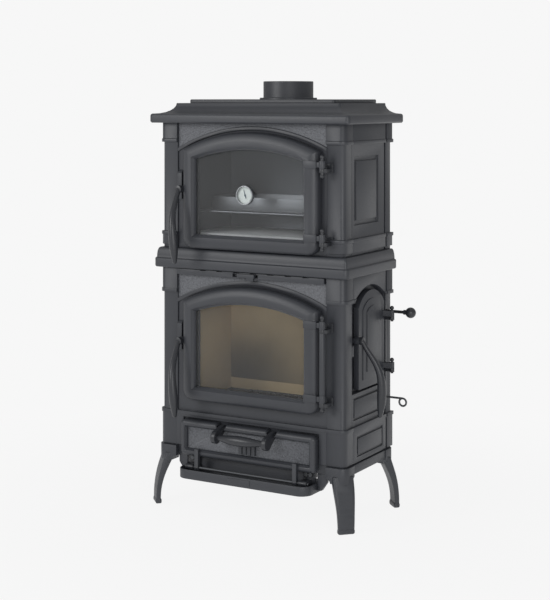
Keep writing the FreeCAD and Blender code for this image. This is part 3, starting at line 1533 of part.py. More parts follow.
ash_ledge = Casting("ash_ledge", "plan")
ash_ledge.pad(S.tray_level, tray_top, tray_plan(as_size(0)))
inner = tray_half - S.tray_wall
ash_ledge.pocket(tray_top, S.tray_level + S.tray_wall,
                 [(-inner + 30, S.tray_wall - S.tray_front),
                  (inner - 30, S.tray_wall - S.tray_front, as_size(30)),
                  (inner, S.tray_wall - S.tray_front + 30), (inner, tray_back + 5),
                  (-inner, tray_back + 5), (-inner, S.tray_wall - S.tray_front + 30, as_size(30))])
apron_y = (lug_front, lug_front + 4)
apron_half = ear_low - 2 - S.plate_gap
ash_ledge.pad(S.tray_level + 1, lug_low - S.plate_gap, rectangle((-inner, inner), apron_y))
ash_ledge.pad(lug_low - S.plate_gap, S.leg_height, rectangle((-apron_half, apron_half), apron_y))
ledge_plate = Casting("ash_ledge_nameplate", "front")
ledge_plate.pad(-S.tray_front, -S.tray_front - 1.2,
                rounded_rectangle((as_size(-40), as_size(34)), (S.tray_level + 6, tray_top - 5),
                                  as_size(2)))
ledge_brackets = []
for side, side_name in ((-1, "left"), (1, "right")):
    wing = Casting(f"ash_ledge_bracket_{side_name}", "front")
    near = tray_half * side
    far = (half_width - S.post_face - 3) * side
    corners = [(near, S.tray_level + 6), (near + side * 12, S.tray_level + 6), (far, S.leg_height - 24),
               (far, S.leg_height), (near, S.leg_height)]
    if side < 0:
        corners = corners[::-1]
    wing.pad(base_front + 14, base_front, corners)
    ledge_brackets.append(wing.body)
grouped("ash_ledge_brackets", *ledge_brackets)

# ---------------------------------------------------------------- ash pan
pan_half = ash_mouth_half - 13
pan_front = plate_back + 4
pan_back = S.body_depth - 40
pan_top = storey_bottom + 58
ash_pan = Casting("ash_pan", "plan")
ash_pan.pad(storey_bottom, pan_top, rectangle((-pan_half, pan_half), (pan_front, pan_back)))
ash_pan.pocket(pan_top, storey_bottom + 2,
               rectangle((-(pan_half - 2), pan_half - 2), (pan_front + 2, pan_back - 2)))

# ---------------------------------------------------------------- inside the firebox
liner_front = plate_back + 4
liner_back = S.rod_depth - 6
liner_inner_back = liner_back - S.liner_thickness
shaker_travel = as_size(30)
grate_half = S.grate_half
grate_front = S.grate_front
grate_back = liner_inner_back - S.grate_back_gap
floor_bottom = S.grate_level - 12
firebox_floor = Casting("firebox_floor", "plan")
firebox_floor.pad(floor_bottom, S.grate_level,
                  rectangle((-(side_recess_face - S.panel_wall - 1), side_recess_face - S.panel_wall - 1),
                            (plate_back, back_face - S.panel_wall)))
firebox_floor.pocket(S.grate_level, S.grate_level - 6,
                     rectangle((-(grate_half + 4), grate_half + shaker_travel + 4),
                               (grate_front - 1, grate_back + 1)))
firebox_floor.pocket(S.grate_level - 6, floor_bottom,
                     rectangle((-(grate_half - 10), grate_half - 10),
                               (grate_front + 12, grate_back - 12)))

grate = Casting("grate_bars", "plan")
grate_low = S.grate_level - 6 + S.plate_gap
grate_top = grate_low + S.grate_thickness
slots = []
for index in range(12):
    slot_left = as_size(-114 + index * 19.5)
    slots.append(rectangle((slot_left, slot_left + 9), (grate_front + 16, grate_back - 16)))
grate.pad(grate_low, grate_top, rectangle((-grate_half, grate_half), (grate_front, grate_back)), *slots)
lug_left = as_size(90)
grate_lug = block("grate_lug", (lug_left, lug_left + 16), (grate_back - 10, S.rod_depth + 5),
                  (grate_top - 2, S.shaker_level + 5))
shaker_radius = as_size(3)
lug_hole = rod("grate_lug_hole", shaker_radius, "x",
               (lug_left - 5, S.rod_depth, S.shaker_level), as_size(30))
cut("grate", fused("grate_solid", grate.body, grate_lug), lug_hole)

loop_radius = as_size(11)
loop_wire = as_size(2.8)
shaker_stem = rod("shaker_stem", shaker_radius, "x", (lug_left, S.rod_depth, S.shaker_level),
                  S.shaker_reach + 10 - lug_left)
shaker_loop = doc.addObject("Part::Torus", "shaker_loop")
shaker_loop.Placement = FreeCAD.Placement(FreeCAD.Vector(), AXIS_TURNS["y"])
bind(shaker_loop, "Radius1", loop_radius)
bind(shaker_loop, "Radius2", loop_wire)
place(shaker_loop, S.shaker_reach + 10, S.rod_depth, S.shaker_level - loop_radius)
fused("shaker_rod", shaker_stem, shaker_loop)

liner_low = S.grate_level
liner_high = ledge_bottom - 54
back_liner_low = S.shaker_level + 12
wall_face = oven_box_half
liner_x = (wall_face, wall_face + S.liner_thickness)
mouth_front = side_mouth.middle - side_mouth.half - 1
mouth_back = side_mouth.middle + side_mouth.half + 1
mouth_low = side_mouth.bottom - 1
mouth_high = side_mouth.peak + 1
liners = [block("left_liner", (-liner_x[1], -liner_x[0]), (liner_front, liner_inner_back),
                (liner_low, liner_high))]
for name, depth, height in (("front", (liner_front, mouth_front), (liner_low, liner_high)),
                            ("rear", (mouth_back, liner_inner_back), (liner_low, liner_high)),
                            ("sill", (mouth_front, mouth_back), (liner_low, mouth_low)),
                            ("lintel", (mouth_front, mouth_back), (mouth_high, liner_high))):
    liners.append(block(f"right_liner_{name}", liner_x, depth, height))
back_liner = Casting("back_liner", "front")
back_liner.pad(liner_back, liner_inner_back,
               rectangle((-(wall_face + S.liner_thickness), wall_face + S.liner_thickness),
                         (back_liner_low, liner_high)))
liner_foot = Casting("back_liner_foot", "front")
liner_foot.pad(liner_inner_back + 6, liner_inner_back,
               rectangle((-(wall_face + S.liner_thickness), lug_left - 6), (liner_low, back_liner_low)))
liners += [back_liner.body, liner_foot.body]
tunnel_x = (liner_x[1], side_recess_face - S.panel_wall)
for name, depth, height in (("floor", (mouth_front, mouth_back), (mouth_low - 8, mouth_low)),
                            ("roof", (mouth_front, mouth_back), (mouth_high, mouth_high + 8)),
                            ("front", (mouth_front - 8, mouth_front), (mouth_low - 8, mouth_high + 8)),
                            ("back", (mouth_back, mouth_back + 8), (mouth_low - 8, mouth_high + 8))):
    liners.append(block(f"tunnel_{name}", tunnel_x, depth, height))
grouped("firebox_liners", *liners)

# ---------------------------------------------------------------- inside the oven
oven_box_bottom = oven_door.bottom + 26
oven_box_top = top_bottom - 54
oven_box_back = S.body_depth - 52
oven_half = oven_box_half + S.oven_wall
oven_shell = Casting("oven_box_shell", "front")
oven_shell.pad(plate_back, oven_box_back, rectangle((-oven_half, oven_half),
                                                    (oven_box_bottom, oven_box_top)))
oven_shell.pocket(plate_back, oven_box_back - S.oven_wall,
                  rectangle((-oven_box_half, oven_box_half),
                            (oven_box_bottom + S.oven_wall, oven_box_top - S.oven_wall)))
runners = []
for side in (-1, 1):
    span = sorted((side * (oven_box_half - 8), side * oven_box_half), key=float)
    runners.append(block(f"oven_runner_{side + 1}", span, (plate_back + 12, oven_box_back - 10),
                         (S.rack_level - 7, S.rack_level - 3.0)))
for side in (-1, 1):
    span = sorted((as_size(side * 120), as_size(side * 150)), key=float)
    runners.append(block(f"oven_box_rail_{side + 1}", span, (plate_back + 20, oven_box_back - 20),
                         (ledge_top, oven_box_bottom + 1)))
fused("oven_box", oven_shell.body, *runners)
slab_low = oven_box_bottom + S.oven_wall
block("oven_floor_slab", (-(oven_box_half - 4), oven_box_half - 4),
      (plate_back + 2, oven_box_back - S.oven_wall - 2), (slab_low, slab_low + S.slab_thickness))
rack_half = oven_box_half - 1
rack_front = plate_back + 14
rack_back = oven_box_back - 14
wires = []
for number, level in enumerate((rack_front, rack_back)):
    wires.append(rod(f"rack_rail_{number}", S.rack_wire, "x", (-rack_half, level, S.rack_level),
                     2 * rack_half))
rack_bars = 15
bar_pitch = 2 * (rack_half - 15) / (rack_bars - 1)
for index in range(rack_bars):
    wire_x = (index - (rack_bars - 1) / 2) * bar_pitch
    wires.append(rod(f"rack_bar_{index}", S.rack_bar, "y", (wire_x, rack_front, S.rack_level),
                     rack_back - rack_front))
fused("oven_rack", *wires)
tray_low = S.rack_level + S.rack_bar
baking_tray = Casting("baking_tray", "plan")
tin_half = oven_box_half - S.tin_gap
tin_rim = tray_low + S.tin_height
baking_tray.pad(tray_low, tin_rim, rectangle((-tin_half, tin_half), (rack_front + 30, rack_back - 4)))
baking_tray.pocket(tin_rim, tray_low + 2,
                   rectangle((-(tin_half - 2), tin_half - 2), (rack_front + 32, rack_back - 6)))

# ---------------------------------------------------------------- damper
damper_radius = as_size(4.5)
blade_top = ledge_top - S.ledge_plate - S.plate_gap
damper_stem = rod("damper_stem", damper_radius, "x", (as_size(-30), S.rod_depth, S.damper_level),
                  S.damper_reach + 30)
damper_blade = block("damper_blade", (as_size(-30), as_size(30)), (S.rod_depth - 2, S.rod_depth + 2),
                     (S.damper_level, blade_top))
damper_flange = block("damper_flange", (as_size(-78), as_size(78)), (S.body_depth - 44, S.rod_depth + 4),
                      (blade_top - 5, blade_top))
fused("damper_rod", damper_stem, damper_blade, damper_flange)
knob_ball = ball("damper_knob_ball", S.ball_radius, (S.damper_reach, S.rod_depth, S.damper_level))
knob_neck = rod("damper_knob_neck", damper_radius + 2.5, "x",
                (S.damper_reach - S.ball_radius - 6, S.rod_depth, S.damper_level), as_size(14))
knob_socket = rod("damper_knob_socket", damper_radius, "x",
                  (S.damper_reach - 60, S.rod_depth, S.damper_level), as_size(60))
cut("damper_knob", fused("damper_knob_body", knob_ball, knob_neck), knob_socket)
bushes = []
for rod_name, level, bore in (("damper", S.damper_level, damper_radius),
                              ("shaker", S.shaker_level, shaker_radius)):
    barrel = rod(f"{rod_name}_bush_barrel", bush_radius, "x",
                 (half_width - S.post_wall - 2, S.rod_depth, level), S.post_wall + 2 - S.shaft_inset)
    way = rod(f"{rod_name}_bush_way", bore + S.running_gap, "x",
              (half_width - S.post_wall - 20, S.rod_depth, level), as_size(60))
    bushes.append(cut(f"{rod_name}_bush", barrel, way))
grouped("rod_bushes", *bushes)

doc.recompute()

PIECES = [
    "base_frame", "legs", "lower_posts", "upper_posts", "lower_front_plate", "upper_front_plate",
    "right_lower_panel", "left_lower_panel", "right_upper_panel", "left_upper_panel",
    "lower_back_panel", "upper_back_panel", "panel_screws", "middle_ledge", "top_plate",
    "top_cover", "flue_collar",
    "air_guide", "air_slider", "door_hinge_pins", "door_hinge_brackets", "door_keepers",
    "fire_door_frame", "fire_door_glass", "fire_door_seal", "fire_door_glass_clips",
    "fire_door_handle", "fire_door_hinge_sleeve",
    "oven_door_frame", "oven_door_glass", "oven_door_seal", "oven_door_glass_clips",
    "oven_door_handle", "thermometer_case", "thermometer_dial", "thermometer_needle",
    "thermometer_lens", "side_door", "side_door_seal", "side_door_handle",
    "ash_door", "ash_door_handle", "ash_door_hinge_rod", "ash_door_hinge_brackets",
    "ash_door_bolts", "ash_ledge", "ash_ledge_nameplate", "ash_ledge_brackets", "ash_pan",
    "firebox_floor", "grate", "shaker_rod", "firebox_liners", "oven_box", "oven_floor_slab",
    "oven_rack", "baking_tray", "damper_rod", "damper_knob", "rod_bushes",
]

for item in doc.Objects:
    faults = [state for state in item.State if state in ("Invalid", "Error")]
    if faults:
        raise RuntimeError(f"{item.Name} is {faults}")
for name in PIECES:
    shape = doc.getObject(name).Shape
    if shape.isNull() or not shape.isValid():
        raise RuntimeError(f"{name} has no valid shape")
    solids = shape.Solids
    print(name, len(solids), round(shape.Volume / 1000, 1), shape.BoundBox)
for name in PIECES:
    doc.getObject(name).Shape.exportStep(f"parts/{name}.step")
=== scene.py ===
"""A cast iron wood stove with a glazed oven above the fire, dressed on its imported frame."""
import json
import math
import bmesh
import bpy
from bpy.props import FloatProperty, FloatVectorProperty, IntProperty, PointerProperty
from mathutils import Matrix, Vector


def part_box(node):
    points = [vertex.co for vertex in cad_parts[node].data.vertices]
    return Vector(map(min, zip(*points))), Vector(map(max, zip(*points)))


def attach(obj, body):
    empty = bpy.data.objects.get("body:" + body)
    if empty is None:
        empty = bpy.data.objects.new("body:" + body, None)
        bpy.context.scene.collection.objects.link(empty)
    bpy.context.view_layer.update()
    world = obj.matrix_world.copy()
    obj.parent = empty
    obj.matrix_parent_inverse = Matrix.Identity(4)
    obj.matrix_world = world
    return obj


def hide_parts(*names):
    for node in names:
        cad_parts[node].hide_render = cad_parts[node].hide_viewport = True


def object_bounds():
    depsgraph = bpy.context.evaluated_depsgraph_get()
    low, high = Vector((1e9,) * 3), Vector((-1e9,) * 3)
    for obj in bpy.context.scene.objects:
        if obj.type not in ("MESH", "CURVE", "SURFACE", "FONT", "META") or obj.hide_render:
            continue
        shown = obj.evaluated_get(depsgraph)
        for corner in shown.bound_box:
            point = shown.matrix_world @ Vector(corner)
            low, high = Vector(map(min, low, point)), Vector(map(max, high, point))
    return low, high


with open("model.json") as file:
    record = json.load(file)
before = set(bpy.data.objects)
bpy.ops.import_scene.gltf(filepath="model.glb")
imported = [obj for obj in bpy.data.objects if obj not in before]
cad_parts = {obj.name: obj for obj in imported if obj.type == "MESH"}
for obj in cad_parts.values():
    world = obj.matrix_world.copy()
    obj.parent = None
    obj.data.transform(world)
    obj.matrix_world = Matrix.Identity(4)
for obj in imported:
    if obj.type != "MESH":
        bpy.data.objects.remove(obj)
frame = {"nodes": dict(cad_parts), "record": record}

bl_info = {
    "name": "Cast iron stove",
    "version": (1, 0, 0),
    "blender": (4, 5, 0),
    "location": "3D View > Sidebar > Stove",
    "description": "Builds the finishes and fine detail of a cast iron stove on its frame",
    "category": "Object",
}

CAD_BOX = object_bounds()
NODES = frame["nodes"]
BODY_OF = {node: body for body, nodes in frame["record"]["behaviour"]["bodies"].items()
           for node in nodes}
FLAT_NORMAL = -0.99         # the Y of a normal that counts as facing the front
FACE_REACH = 0.0006         # how far from its plane a face may lie and still be on it, in metres
PLATE_FIELD = {"lower": 0.0105, "upper": 0.0051}    # from a front plate's foremost point to its field
ASH_FIELD = 0.022           # from the ash door's foremost point to its field
RIDGE_SHARE = 0.16          # the part of a door's height above which its plate is rough
LAMPS = (("key", (-1.9, -3.4, 2.1), 1.8, 62),       # name, place, size in metres, power in watts
         ("fill", (2.3, -3.0, 1.3), 1.8, 44),
         ("top", (0.0, 0.2, 3.4), 2.4, 10))
FLOOR_REACH = 40.0
WORLD_LIGHT = 0.42
CAMERA_PLACE = (2.073055, -3.610183, 1.2)
CAMERA_TURN = math.radians(30)
CAMERA_LENS = 85.38
CAMERA_SENSOR = 36.0
CAMERA_SHIFT = -0.3372


# ---------------------------------------------------------------- colours
def linear(channel):
    return channel / 12.92 if channel <= 0.04045 else ((channel + 0.055) / 1.055) ** 2.4


def paint(code):
    """An sRGB hex code such as 5A5C5F as linear red, green, blue."""
    return tuple(linear(int(code[i:i + 2], 16) / 255) for i in (0, 2, 4))


def colour_property(name, description, code):
    return FloatVectorProperty(name=name, description=description, subtype="COLOR", size=3,
                               min=0, max=1, default=paint(code))


class StoveSizes(bpy.types.PropertyGroup):
    """Sizes of what is added to the frame."""
    edge_round: FloatProperty(name="Edge rounding", description="Radius left on the castings' edges",
                              default=0.0014, min=0.0002, max=0.003, unit="LENGTH")
    fine_round: FloatProperty(name="Fine rounding", description="Radius on small hardware",
                              default=0.0006, min=0.0001, max=0.002, unit="LENGTH")
    cast_grain: FloatProperty(name="Casting grain", description="Grain of the painted iron",
                              default=0.0016, min=0.0005, max=0.01, unit="LENGTH")
    field_grain: FloatProperty(name="Field grain", description="Grain of the hammered fields",
                               default=0.0042, min=0.001, max=0.02, unit="LENGTH")
    dial_divisions: IntProperty(name="Dial divisions", description="Marks round the dial",
                                default=30, min=6, max=60)
    screw_slot: FloatProperty(name="Screw slot", description="Width of a screw head's slot",
                              default=0.0012, min=0.0005, max=0.003, unit="LENGTH")


class StoveColours(bpy.types.PropertyGroup):
    """Colours of the finishes."""
    iron: colour_property("Painted iron", "Heat-proof paint on the castings", "303237")
    # Base colour of the rough fields, lighter than the plain iron; the field material paints its grains
    # lighter still and the gaps between them darker.
    hammered: colour_property("Hammered field", "Paint on the rough fields", "606267")
    sooty: colour_property("Sooty iron", "Bare iron inside the fire", "2A2928")
    board: colour_property("Fire board", "Boards that line the fire", "E4C896")
    dial: colour_property("Dial", "Enamel of the thermometer's dial", "F6F6F4")
    needle: colour_property("Needle", "Paint of the pointer", "4A5566")
    backdrop: colour_property("Backdrop", "Floor and backdrop", "F7F7F7")


# ---------------------------------------------------------------- materials
def add_node(material, kind, settings=None, links=None, **attributes):
    """Adds one node: attributes, then values of its inputs, then links into its inputs."""
    tree = material if isinstance(material, bpy.types.NodeTree) else material.node_tree
    node = tree.nodes.new(kind)
    for name, value in attributes.items():
        setattr(node, name, value)
    for name, value in (settings or {}).items():
        node.inputs[name].default_value = value
    for name, source in (links or {}).items():
        tree.links.new(source, node.inputs[name])
    return node


def blank_material(name):
    material = bpy.data.materials.new(name)
    material.use_nodes = True
    material.node_tree.nodes.clear()
    place = add_node(material, "ShaderNodeTexCoord").outputs["Object"]
    return material, place


def close_material(material, shader):
    add_node(material, "ShaderNodeOutputMaterial", links={"Surface": shader.outputs[0]})
    return material


def rgba(colour, alpha=1.0):
    return (*colour[:3], alpha)


def shade(colour, factor):
    return tuple(min(1.0, c * factor) for c in colour[:3])


def tone_between(material, colour, low, high, factor):
    """A colour node that runs from colour x low to colour x high with the factor."""
    ends = {"A": rgba(shade(colour, low)), "B": rgba(shade(colour, high))}
    return add_node(material, "ShaderNodeMix", ends, {"Factor": factor}, data_type="RGBA")


def iron_material(name, colour, grain, height, roughness, mottle=0.10):
    """Sand-cast iron under heat-proof paint: a fine matt grain, faintly uneven in tone and gloss."""
    material, place = blank_material(name)
    fine = add_node(material, "ShaderNodeTexNoise", {"Scale": 1 / grain, "Detail": 3.0}, {"Vector": place})
    cloud = add_node(material, "ShaderNodeTexNoise", {"Scale": 1 / 0.055, "Detail": 4.0, "Roughness": 0.6},
                     {"Vector": place})
    tone = tone_between(material, colour, 1 - mottle, 1 + mottle, cloud.outputs["Fac"])
    gloss = add_node(material, "ShaderNodeMapRange", {"From Min": 0.35, "From Max": 0.65,
                                                      "To Min": roughness - 0.05, "To Max": roughness + 0.07},
                     {"Value": fine.outputs["Fac"]})
    bump = add_node(material, "ShaderNodeBump", {"Strength": 0.5, "Distance": height},
                    {"Height": fine.outputs["Fac"]})
    shader = add_node(material, "ShaderNodeBsdfPrincipled", {"Metallic": 0.0, "IOR": 1.5},
                      {"Base Color": tone.outputs["Result"], "Roughness": gloss.outputs["Result"],
                       "Normal": bump.outputs["Normal"]})
    return close_material(material, shader)


def hammered_material_with_painted_light(name, colour, grain):
    """Rough-cast field: raised grains a few millimetres wide that catch the light, painted lighter on the
    grains as painted highlight and darker between them as painted shade.
    """
    material, place = blank_material(name)
    cells = add_node(material, "ShaderNodeTexVoronoi", {"Scale": 1 / grain}, {"Vector": place},
                     feature="SMOOTH_F1")
    grit = add_node(material, "ShaderNodeTexNoise", {"Scale": 2.2 / grain, "Detail": 3.0}, {"Vector": place})
    relief = add_node(material, "ShaderNodeMath", {1: 0.6},
                      {0: grit.outputs["Fac"]}, operation="MULTIPLY")
    relief = add_node(material, "ShaderNodeMath", links={0: relief.outputs[0], 1: cells.outputs["Distance"]},
                      operation="ADD")
    # Painted highlight and shade: the raised grains are painted lighter and the gaps between them darker.
    tone = tone_between(material, colour, 1.35, 0.62, relief.outputs[0])
    bump = add_node(material, "ShaderNodeBump", {"Strength": 0.9, "Distance": grain * 0.35},
                    {"Height": relief.outputs[0]}, invert=True)
    shader = add_node(material, "ShaderNodeBsdfPrincipled", {"Roughness": 0.52, "IOR": 1.5},
                      {"Base Color": tone.outputs["Result"], "Normal": bump.outputs["Normal"]})
    return close_material(material, shader)


def metal_material(name, colour, roughness, streak=(1 / 0.08, 1 / 0.0012, 1 / 0.0012), mottle=0.08):
    """Steel: turned or rolled, with fine streaks along X unless another streak is given."""
    material, place = blank_material(name)
    stretched = add_node(material, "ShaderNodeMapping", {"Scale": streak}, {"Vector": place})
    lines = add_node(material, "ShaderNodeTexNoise", {"Scale": 1.0, "Detail": 3.0},
                     {"Vector": stretched.outputs[0]})
    tone = tone_between(material, colour, 1 - mottle, 1 + mottle, lines.outputs["Fac"])
    gloss = add_node(material, "ShaderNodeMapRange", {"To Min": roughness - 0.05, "To Max": roughness + 0.08},
                     {"Value": lines.outputs["Fac"]})
    bump = add_node(material, "ShaderNodeBump", {"Strength": 0.25, "Distance": 0.0001},
                    {"Height": lines.outputs["Fac"]})
    shader = add_node(material, "ShaderNodeBsdfPrincipled", {"Metallic": 1.0},
                      {"Base Color": tone.outputs["Result"], "Roughness": gloss.outputs["Result"],
                       "Normal": bump.outputs["Normal"]})
    return close_material(material, shader)


def glass_material(name, tint, reflection):
    """Thin clear pane: it passes what is behind it and lays a faint reflection over it."""
    material, place = blank_material(name)
    smear = add_node(material, "ShaderNodeTexNoise", {"Scale": 1 / 0.09, "Detail": 4.0}, {"Vector": place})
    gloss = add_node(material, "ShaderNodeMapRange", {"To Min": 0.02, "To Max": 0.10},
                     {"Value": smear.outputs["Fac"]})
    clear = add_node(material, "ShaderNodeBsdfTransparent", {"Color": rgba(tint)})
    mirror = add_node(material, "ShaderNodeBsdfPrincipled",
                      {"Base Color": rgba(shade(tint, 0.9)), "IOR": 1.5, "Metallic": 0.0,
                       "Alpha": reflection},
                      {"Roughness": gloss.outputs["Result"]})
    layer = add_node(material, "ShaderNodeFresnel", {"IOR": 1.45})
    both = add_node(material, "ShaderNodeMixShader", links={0: layer.outputs[0], 1: clear.outputs[0],
                                                           2: mirror.outputs[0]})
    return close_material(material, both)


def board_material(name, colour):
    """Pressed board or stone, such as vermiculite: pale, matt, with flecks about 2 mm across."""
    material, place = blank_material(name)
    flecks = add_node(material, "ShaderNodeTexVoronoi", {"Scale": 1 / 0.004}, {"Vector": place})
    cloud = add_node(material, "ShaderNodeTexNoise", {"Scale": 1 / 0.07, "Detail": 5.0}, {"Vector": place})
    patch = tone_between(material, colour, 0.84, 1.10, cloud.outputs["Fac"])
    fleck = add_node(material, "ShaderNodeMapRange", {"From Min": 0.0, "From Max": 0.30, "To Min": 0.35,
                                                     "To Max": 0.0}, {"Value": flecks.outputs["Distance"]})
    tone = add_node(material, "ShaderNodeMix", {"B": rgba(shade(colour, 0.62))},
                    {"Factor": fleck.outputs["Result"], "A": patch.outputs["Result"]}, data_type="RGBA")
    bump = add_node(material, "ShaderNodeBump", {"Strength": 0.4, "Distance": 0.0006},
                    {"Height": flecks.outputs["Distance"]})
    shader = add_node(material, "ShaderNodeBsdfPrincipled", {"Roughness": 0.9},
                      {"Base Color": tone.outputs["Result"], "Normal": bump.outputs["Normal"]})
    return close_material(material, shader)


def rope_material(name):
    """Knitted glass rope, black: a fine diagonal twist with a soft sheen."""
    material, place = blank_material(name)
    turned = add_node(material, "ShaderNodeMapping", {"Rotation": (0.6, 0.5, 0.7)}, {"Vector": place})
    twist = add_node(material, "ShaderNodeTexWave", {"Scale": 1 / 0.012, "Distortion": 1.5},
                     {"Vector": turned.outputs[0]})
    bump = add_node(material, "ShaderNodeBump", {"Strength": 0.8, "Distance": 0.0008},
                    {"Height": twist.outputs["Fac"]})
    tone = add_node(material, "ShaderNodeMix", {"A": rgba(paint("141414")), "B": rgba(paint("303030"))},
                    {"Factor": twist.outputs["Fac"]}, data_type="RGBA")
    shader = add_node(material, "ShaderNodeBsdfPrincipled",
                      {"Roughness": 0.85, "Sheen Weight": 0.3, "Sheen Roughness": 0.5},
                      {"Base Color": tone.outputs["Result"], "Normal": bump.outputs["Normal"]})
    return close_material(material, shader)


def enamel_material(name, colour, roughness=0.3):
    """Stoved enamel or print: smooth, faintly uneven in gloss."""
    material, place = blank_material(name)
    cloud = add_node(material, "ShaderNodeTexNoise", {"Scale": 1 / 0.01, "Detail": 2.0}, {"Vector": place})
    tone = tone_between(material, colour, 0.95, 1.03, cloud.outputs["Fac"])
    gloss = add_node(material, "ShaderNodeMapRange", {"To Min": roughness - 0.05, "To Max": roughness + 0.1},
                     {"Value": cloud.outputs["Fac"]})
    shader = add_node(material, "ShaderNodeBsdfPrincipled", {"IOR": 1.5},
                      {"Base Color": tone.outputs["Result"], "Roughness": gloss.outputs["Result"]})
    return close_material(material, shader)


MATERIALS = {}


def make_materials(sizes, colours):
    MATERIALS.update({
        "iron": iron_material("painted_cast_iron", colours.iron, sizes.cast_grain, 0.00012, 0.44),
        # Darker iron: the handles' own tone; on the door hinge brackets it also stands in for painted shade.
        "handle": iron_material("dark_handle_iron_and_bracket_shade", shade(colours.iron, 0.7), sizes.cast_grain,
                                0.00008, 0.36),
        # The hammered field carries painted highlight on its grains and painted shade between them.
        "hammered": hammered_material_with_painted_light("hammered_cast_iron_with_painted_light", colours.hammered, sizes.field_grain),
        "sooty": iron_material("bare_sooty_iron", colours.sooty, 0.002, 0.0003, 0.72, 0.25),
        "black": metal_material("blackened_steel", paint("38393B"), 0.42),
        "oven": metal_material("rolled_oven_steel", paint("606265"), 0.42,
                               (1 / 0.0012, 1 / 0.05, 1 / 0.0012)),
        "dull": metal_material("dull_drawn_steel", paint("66686B"), 0.6),
        "tray": metal_material("baking_tray_steel", paint("8A8C8E"), 0.45),
        "bright": metal_material("bright_turned_steel", paint("8C8E91"), 0.32),
        "pane": glass_material("ceramic_glass", paint("F0F1F2"), 1.0),
        "lens": glass_material("thermometer_lens_glass", paint("F4F6F6"), 1.0),
        "board": board_material("vermiculite_board", colours.board),
        # The oven floor stone's near-white colour is partly its own pale tone and partly painted light,
        # raised to stand for the light that falls on the oven floor.
        "slab": board_material("oven_floor_stone_and_painted_light", paint("F0F0EE")),
        "rope": rope_material("knitted_glass_rope"),
        "dial": enamel_material("white_dial_enamel", colours.dial),
        "ink": enamel_material("dial_print_ink", paint("2B2E33"), 0.5),
        "needle": enamel_material("painted_needle", colours.needle, 0.4),
    })


# ---------------------------------------------------------------- mesh helpers
def merged_copy(node):
    """A copy of a frame node's mesh with its loose triangles joined into plane faces."""
    mesh = bmesh.new()
    mesh.from_mesh(NODES[node].data)
    bmesh.ops.remove_doubles(mesh, verts=mesh.verts, dist=2e-6)
    bmesh.ops.dissolve_degenerate(mesh, edges=mesh.edges, dist=1e-6)
    bmesh.ops.dissolve_limit(mesh, angle_limit=math.radians(0.5), verts=mesh.verts, edges=mesh.edges)
    return mesh


def round_edges(mesh, radius, sharp=math.radians(30)):
    """Rounds the sharp outer and inner edges, as sand and paint leave them on a casting."""
    edges = [edge for edge in mesh.edges
             if len(edge.link_faces) == 2 and edge.calc_face_angle(0) > sharp
             and edge.calc_length() > radius * 0.8]
    bmesh.ops.bevel(mesh, geom=edges, offset=radius, offset_type="OFFSET", segments=2, profile=0.5,
                    affect="EDGES", clamp_overlap=True, material=-1)


def shown_object(name, mesh, node, materials, smooth=35):
    """Turns a bmesh into the object that stands for a node and rides on its body."""
    data = bpy.data.meshes.new(name)
    mesh.to_mesh(data)
    mesh.free()
    data.shade_smooth()
    data.set_sharp_from_angle(angle=math.radians(smooth))
    for material in materials:
        data.materials.append(MATERIALS[material])
    piece = bpy.data.objects.new(name, data)
    bpy.context.scene.collection.objects.link(piece)
    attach(piece, BODY_OF[node])
    return piece


def soften(node, radius, materials=("iron",), mark=None, smooth=35):
    """Replaces a casting by one with rounded edges; mark picks the faces of the second finish."""
    mesh = merged_copy(node)
    if mark:
        for face in mesh.faces:
            if mark(face):
                face.material_index = 1
    round_edges(mesh, radius)
    piece = shown_object(f"{node}_finished", mesh, node, materials, smooth)
    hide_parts(node)
    return piece


def dress(node, material):
    """Gives a frame node its finish and leaves its shape."""
    data = NODES[node].data
    data.materials.clear()
    data.materials.append(MATERIALS[material])


def geometry_object(name, tree, node, materials):
    """Runs a node tree, keeps its result as a plain mesh and lets it ride on a node's body."""
    carrier_mesh = bpy.data.meshes.new(f"{name}_carrier")
    carrier = bpy.data.objects.new(f"{name}_carrier", carrier_mesh)
    bpy.context.scene.collection.objects.link(carrier)
    modifier = carrier.modifiers.new(name, "NODES")
    modifier.node_group = tree
    graph = bpy.context.evaluated_depsgraph_get()
    graph.update()
    mesh = bpy.data.meshes.new_from_object(carrier.evaluated_get(graph))
    bpy.data.objects.remove(carrier)
    mesh.name = name
    if not mesh.polygons:
        raise RuntimeError(f"{name} came out empty")
    mesh.materials.clear()
    for material in materials:
        mesh.materials.append(MATERIALS[material])
    piece = bpy.data.objects.new(name, mesh)
    bpy.context.scene.collection.objects.link(piece)
    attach(piece, BODY_OF[node])
    return piece


def new_tree(name, **inputs):
    """A geometry tree with named number inputs and one geometry output."""
    tree = bpy.data.node_groups.new(name, "GeometryNodeTree")
    for label, value in inputs.items():
        kind = "NodeSocketInt" if isinstance(value, int) else "NodeSocketFloat"
        socket = tree.interface.new_socket(label, in_out="INPUT", socket_type=kind)
        socket.default_value = value
    tree.interface.new_socket("Geometry", in_out="OUTPUT", socket_type="NodeSocketGeometry")
    return tree, add_node(tree, "NodeGroupInput")


def close_tree(tree, geometry, material):
    """Ends a tree in real geometry with its material."""
    real = add_node(tree, "GeometryNodeRealizeInstances", links={"Geometry": geometry})
    finish = add_node(tree, "GeometryNodeSetMaterial", {"Material": MATERIALS[material]},
                      {"Geometry": real.outputs[0]})
    add_node(tree, "NodeGroupOutput", links={"Geometry": finish.outputs[0]})
    return tree


def lies_on(face, level):
    """True for a face that looks to the front and lies at this Y."""
    return face.normal.y < FLAT_NORMAL and abs(face.calc_center_median().y - level) < FACE_REACH


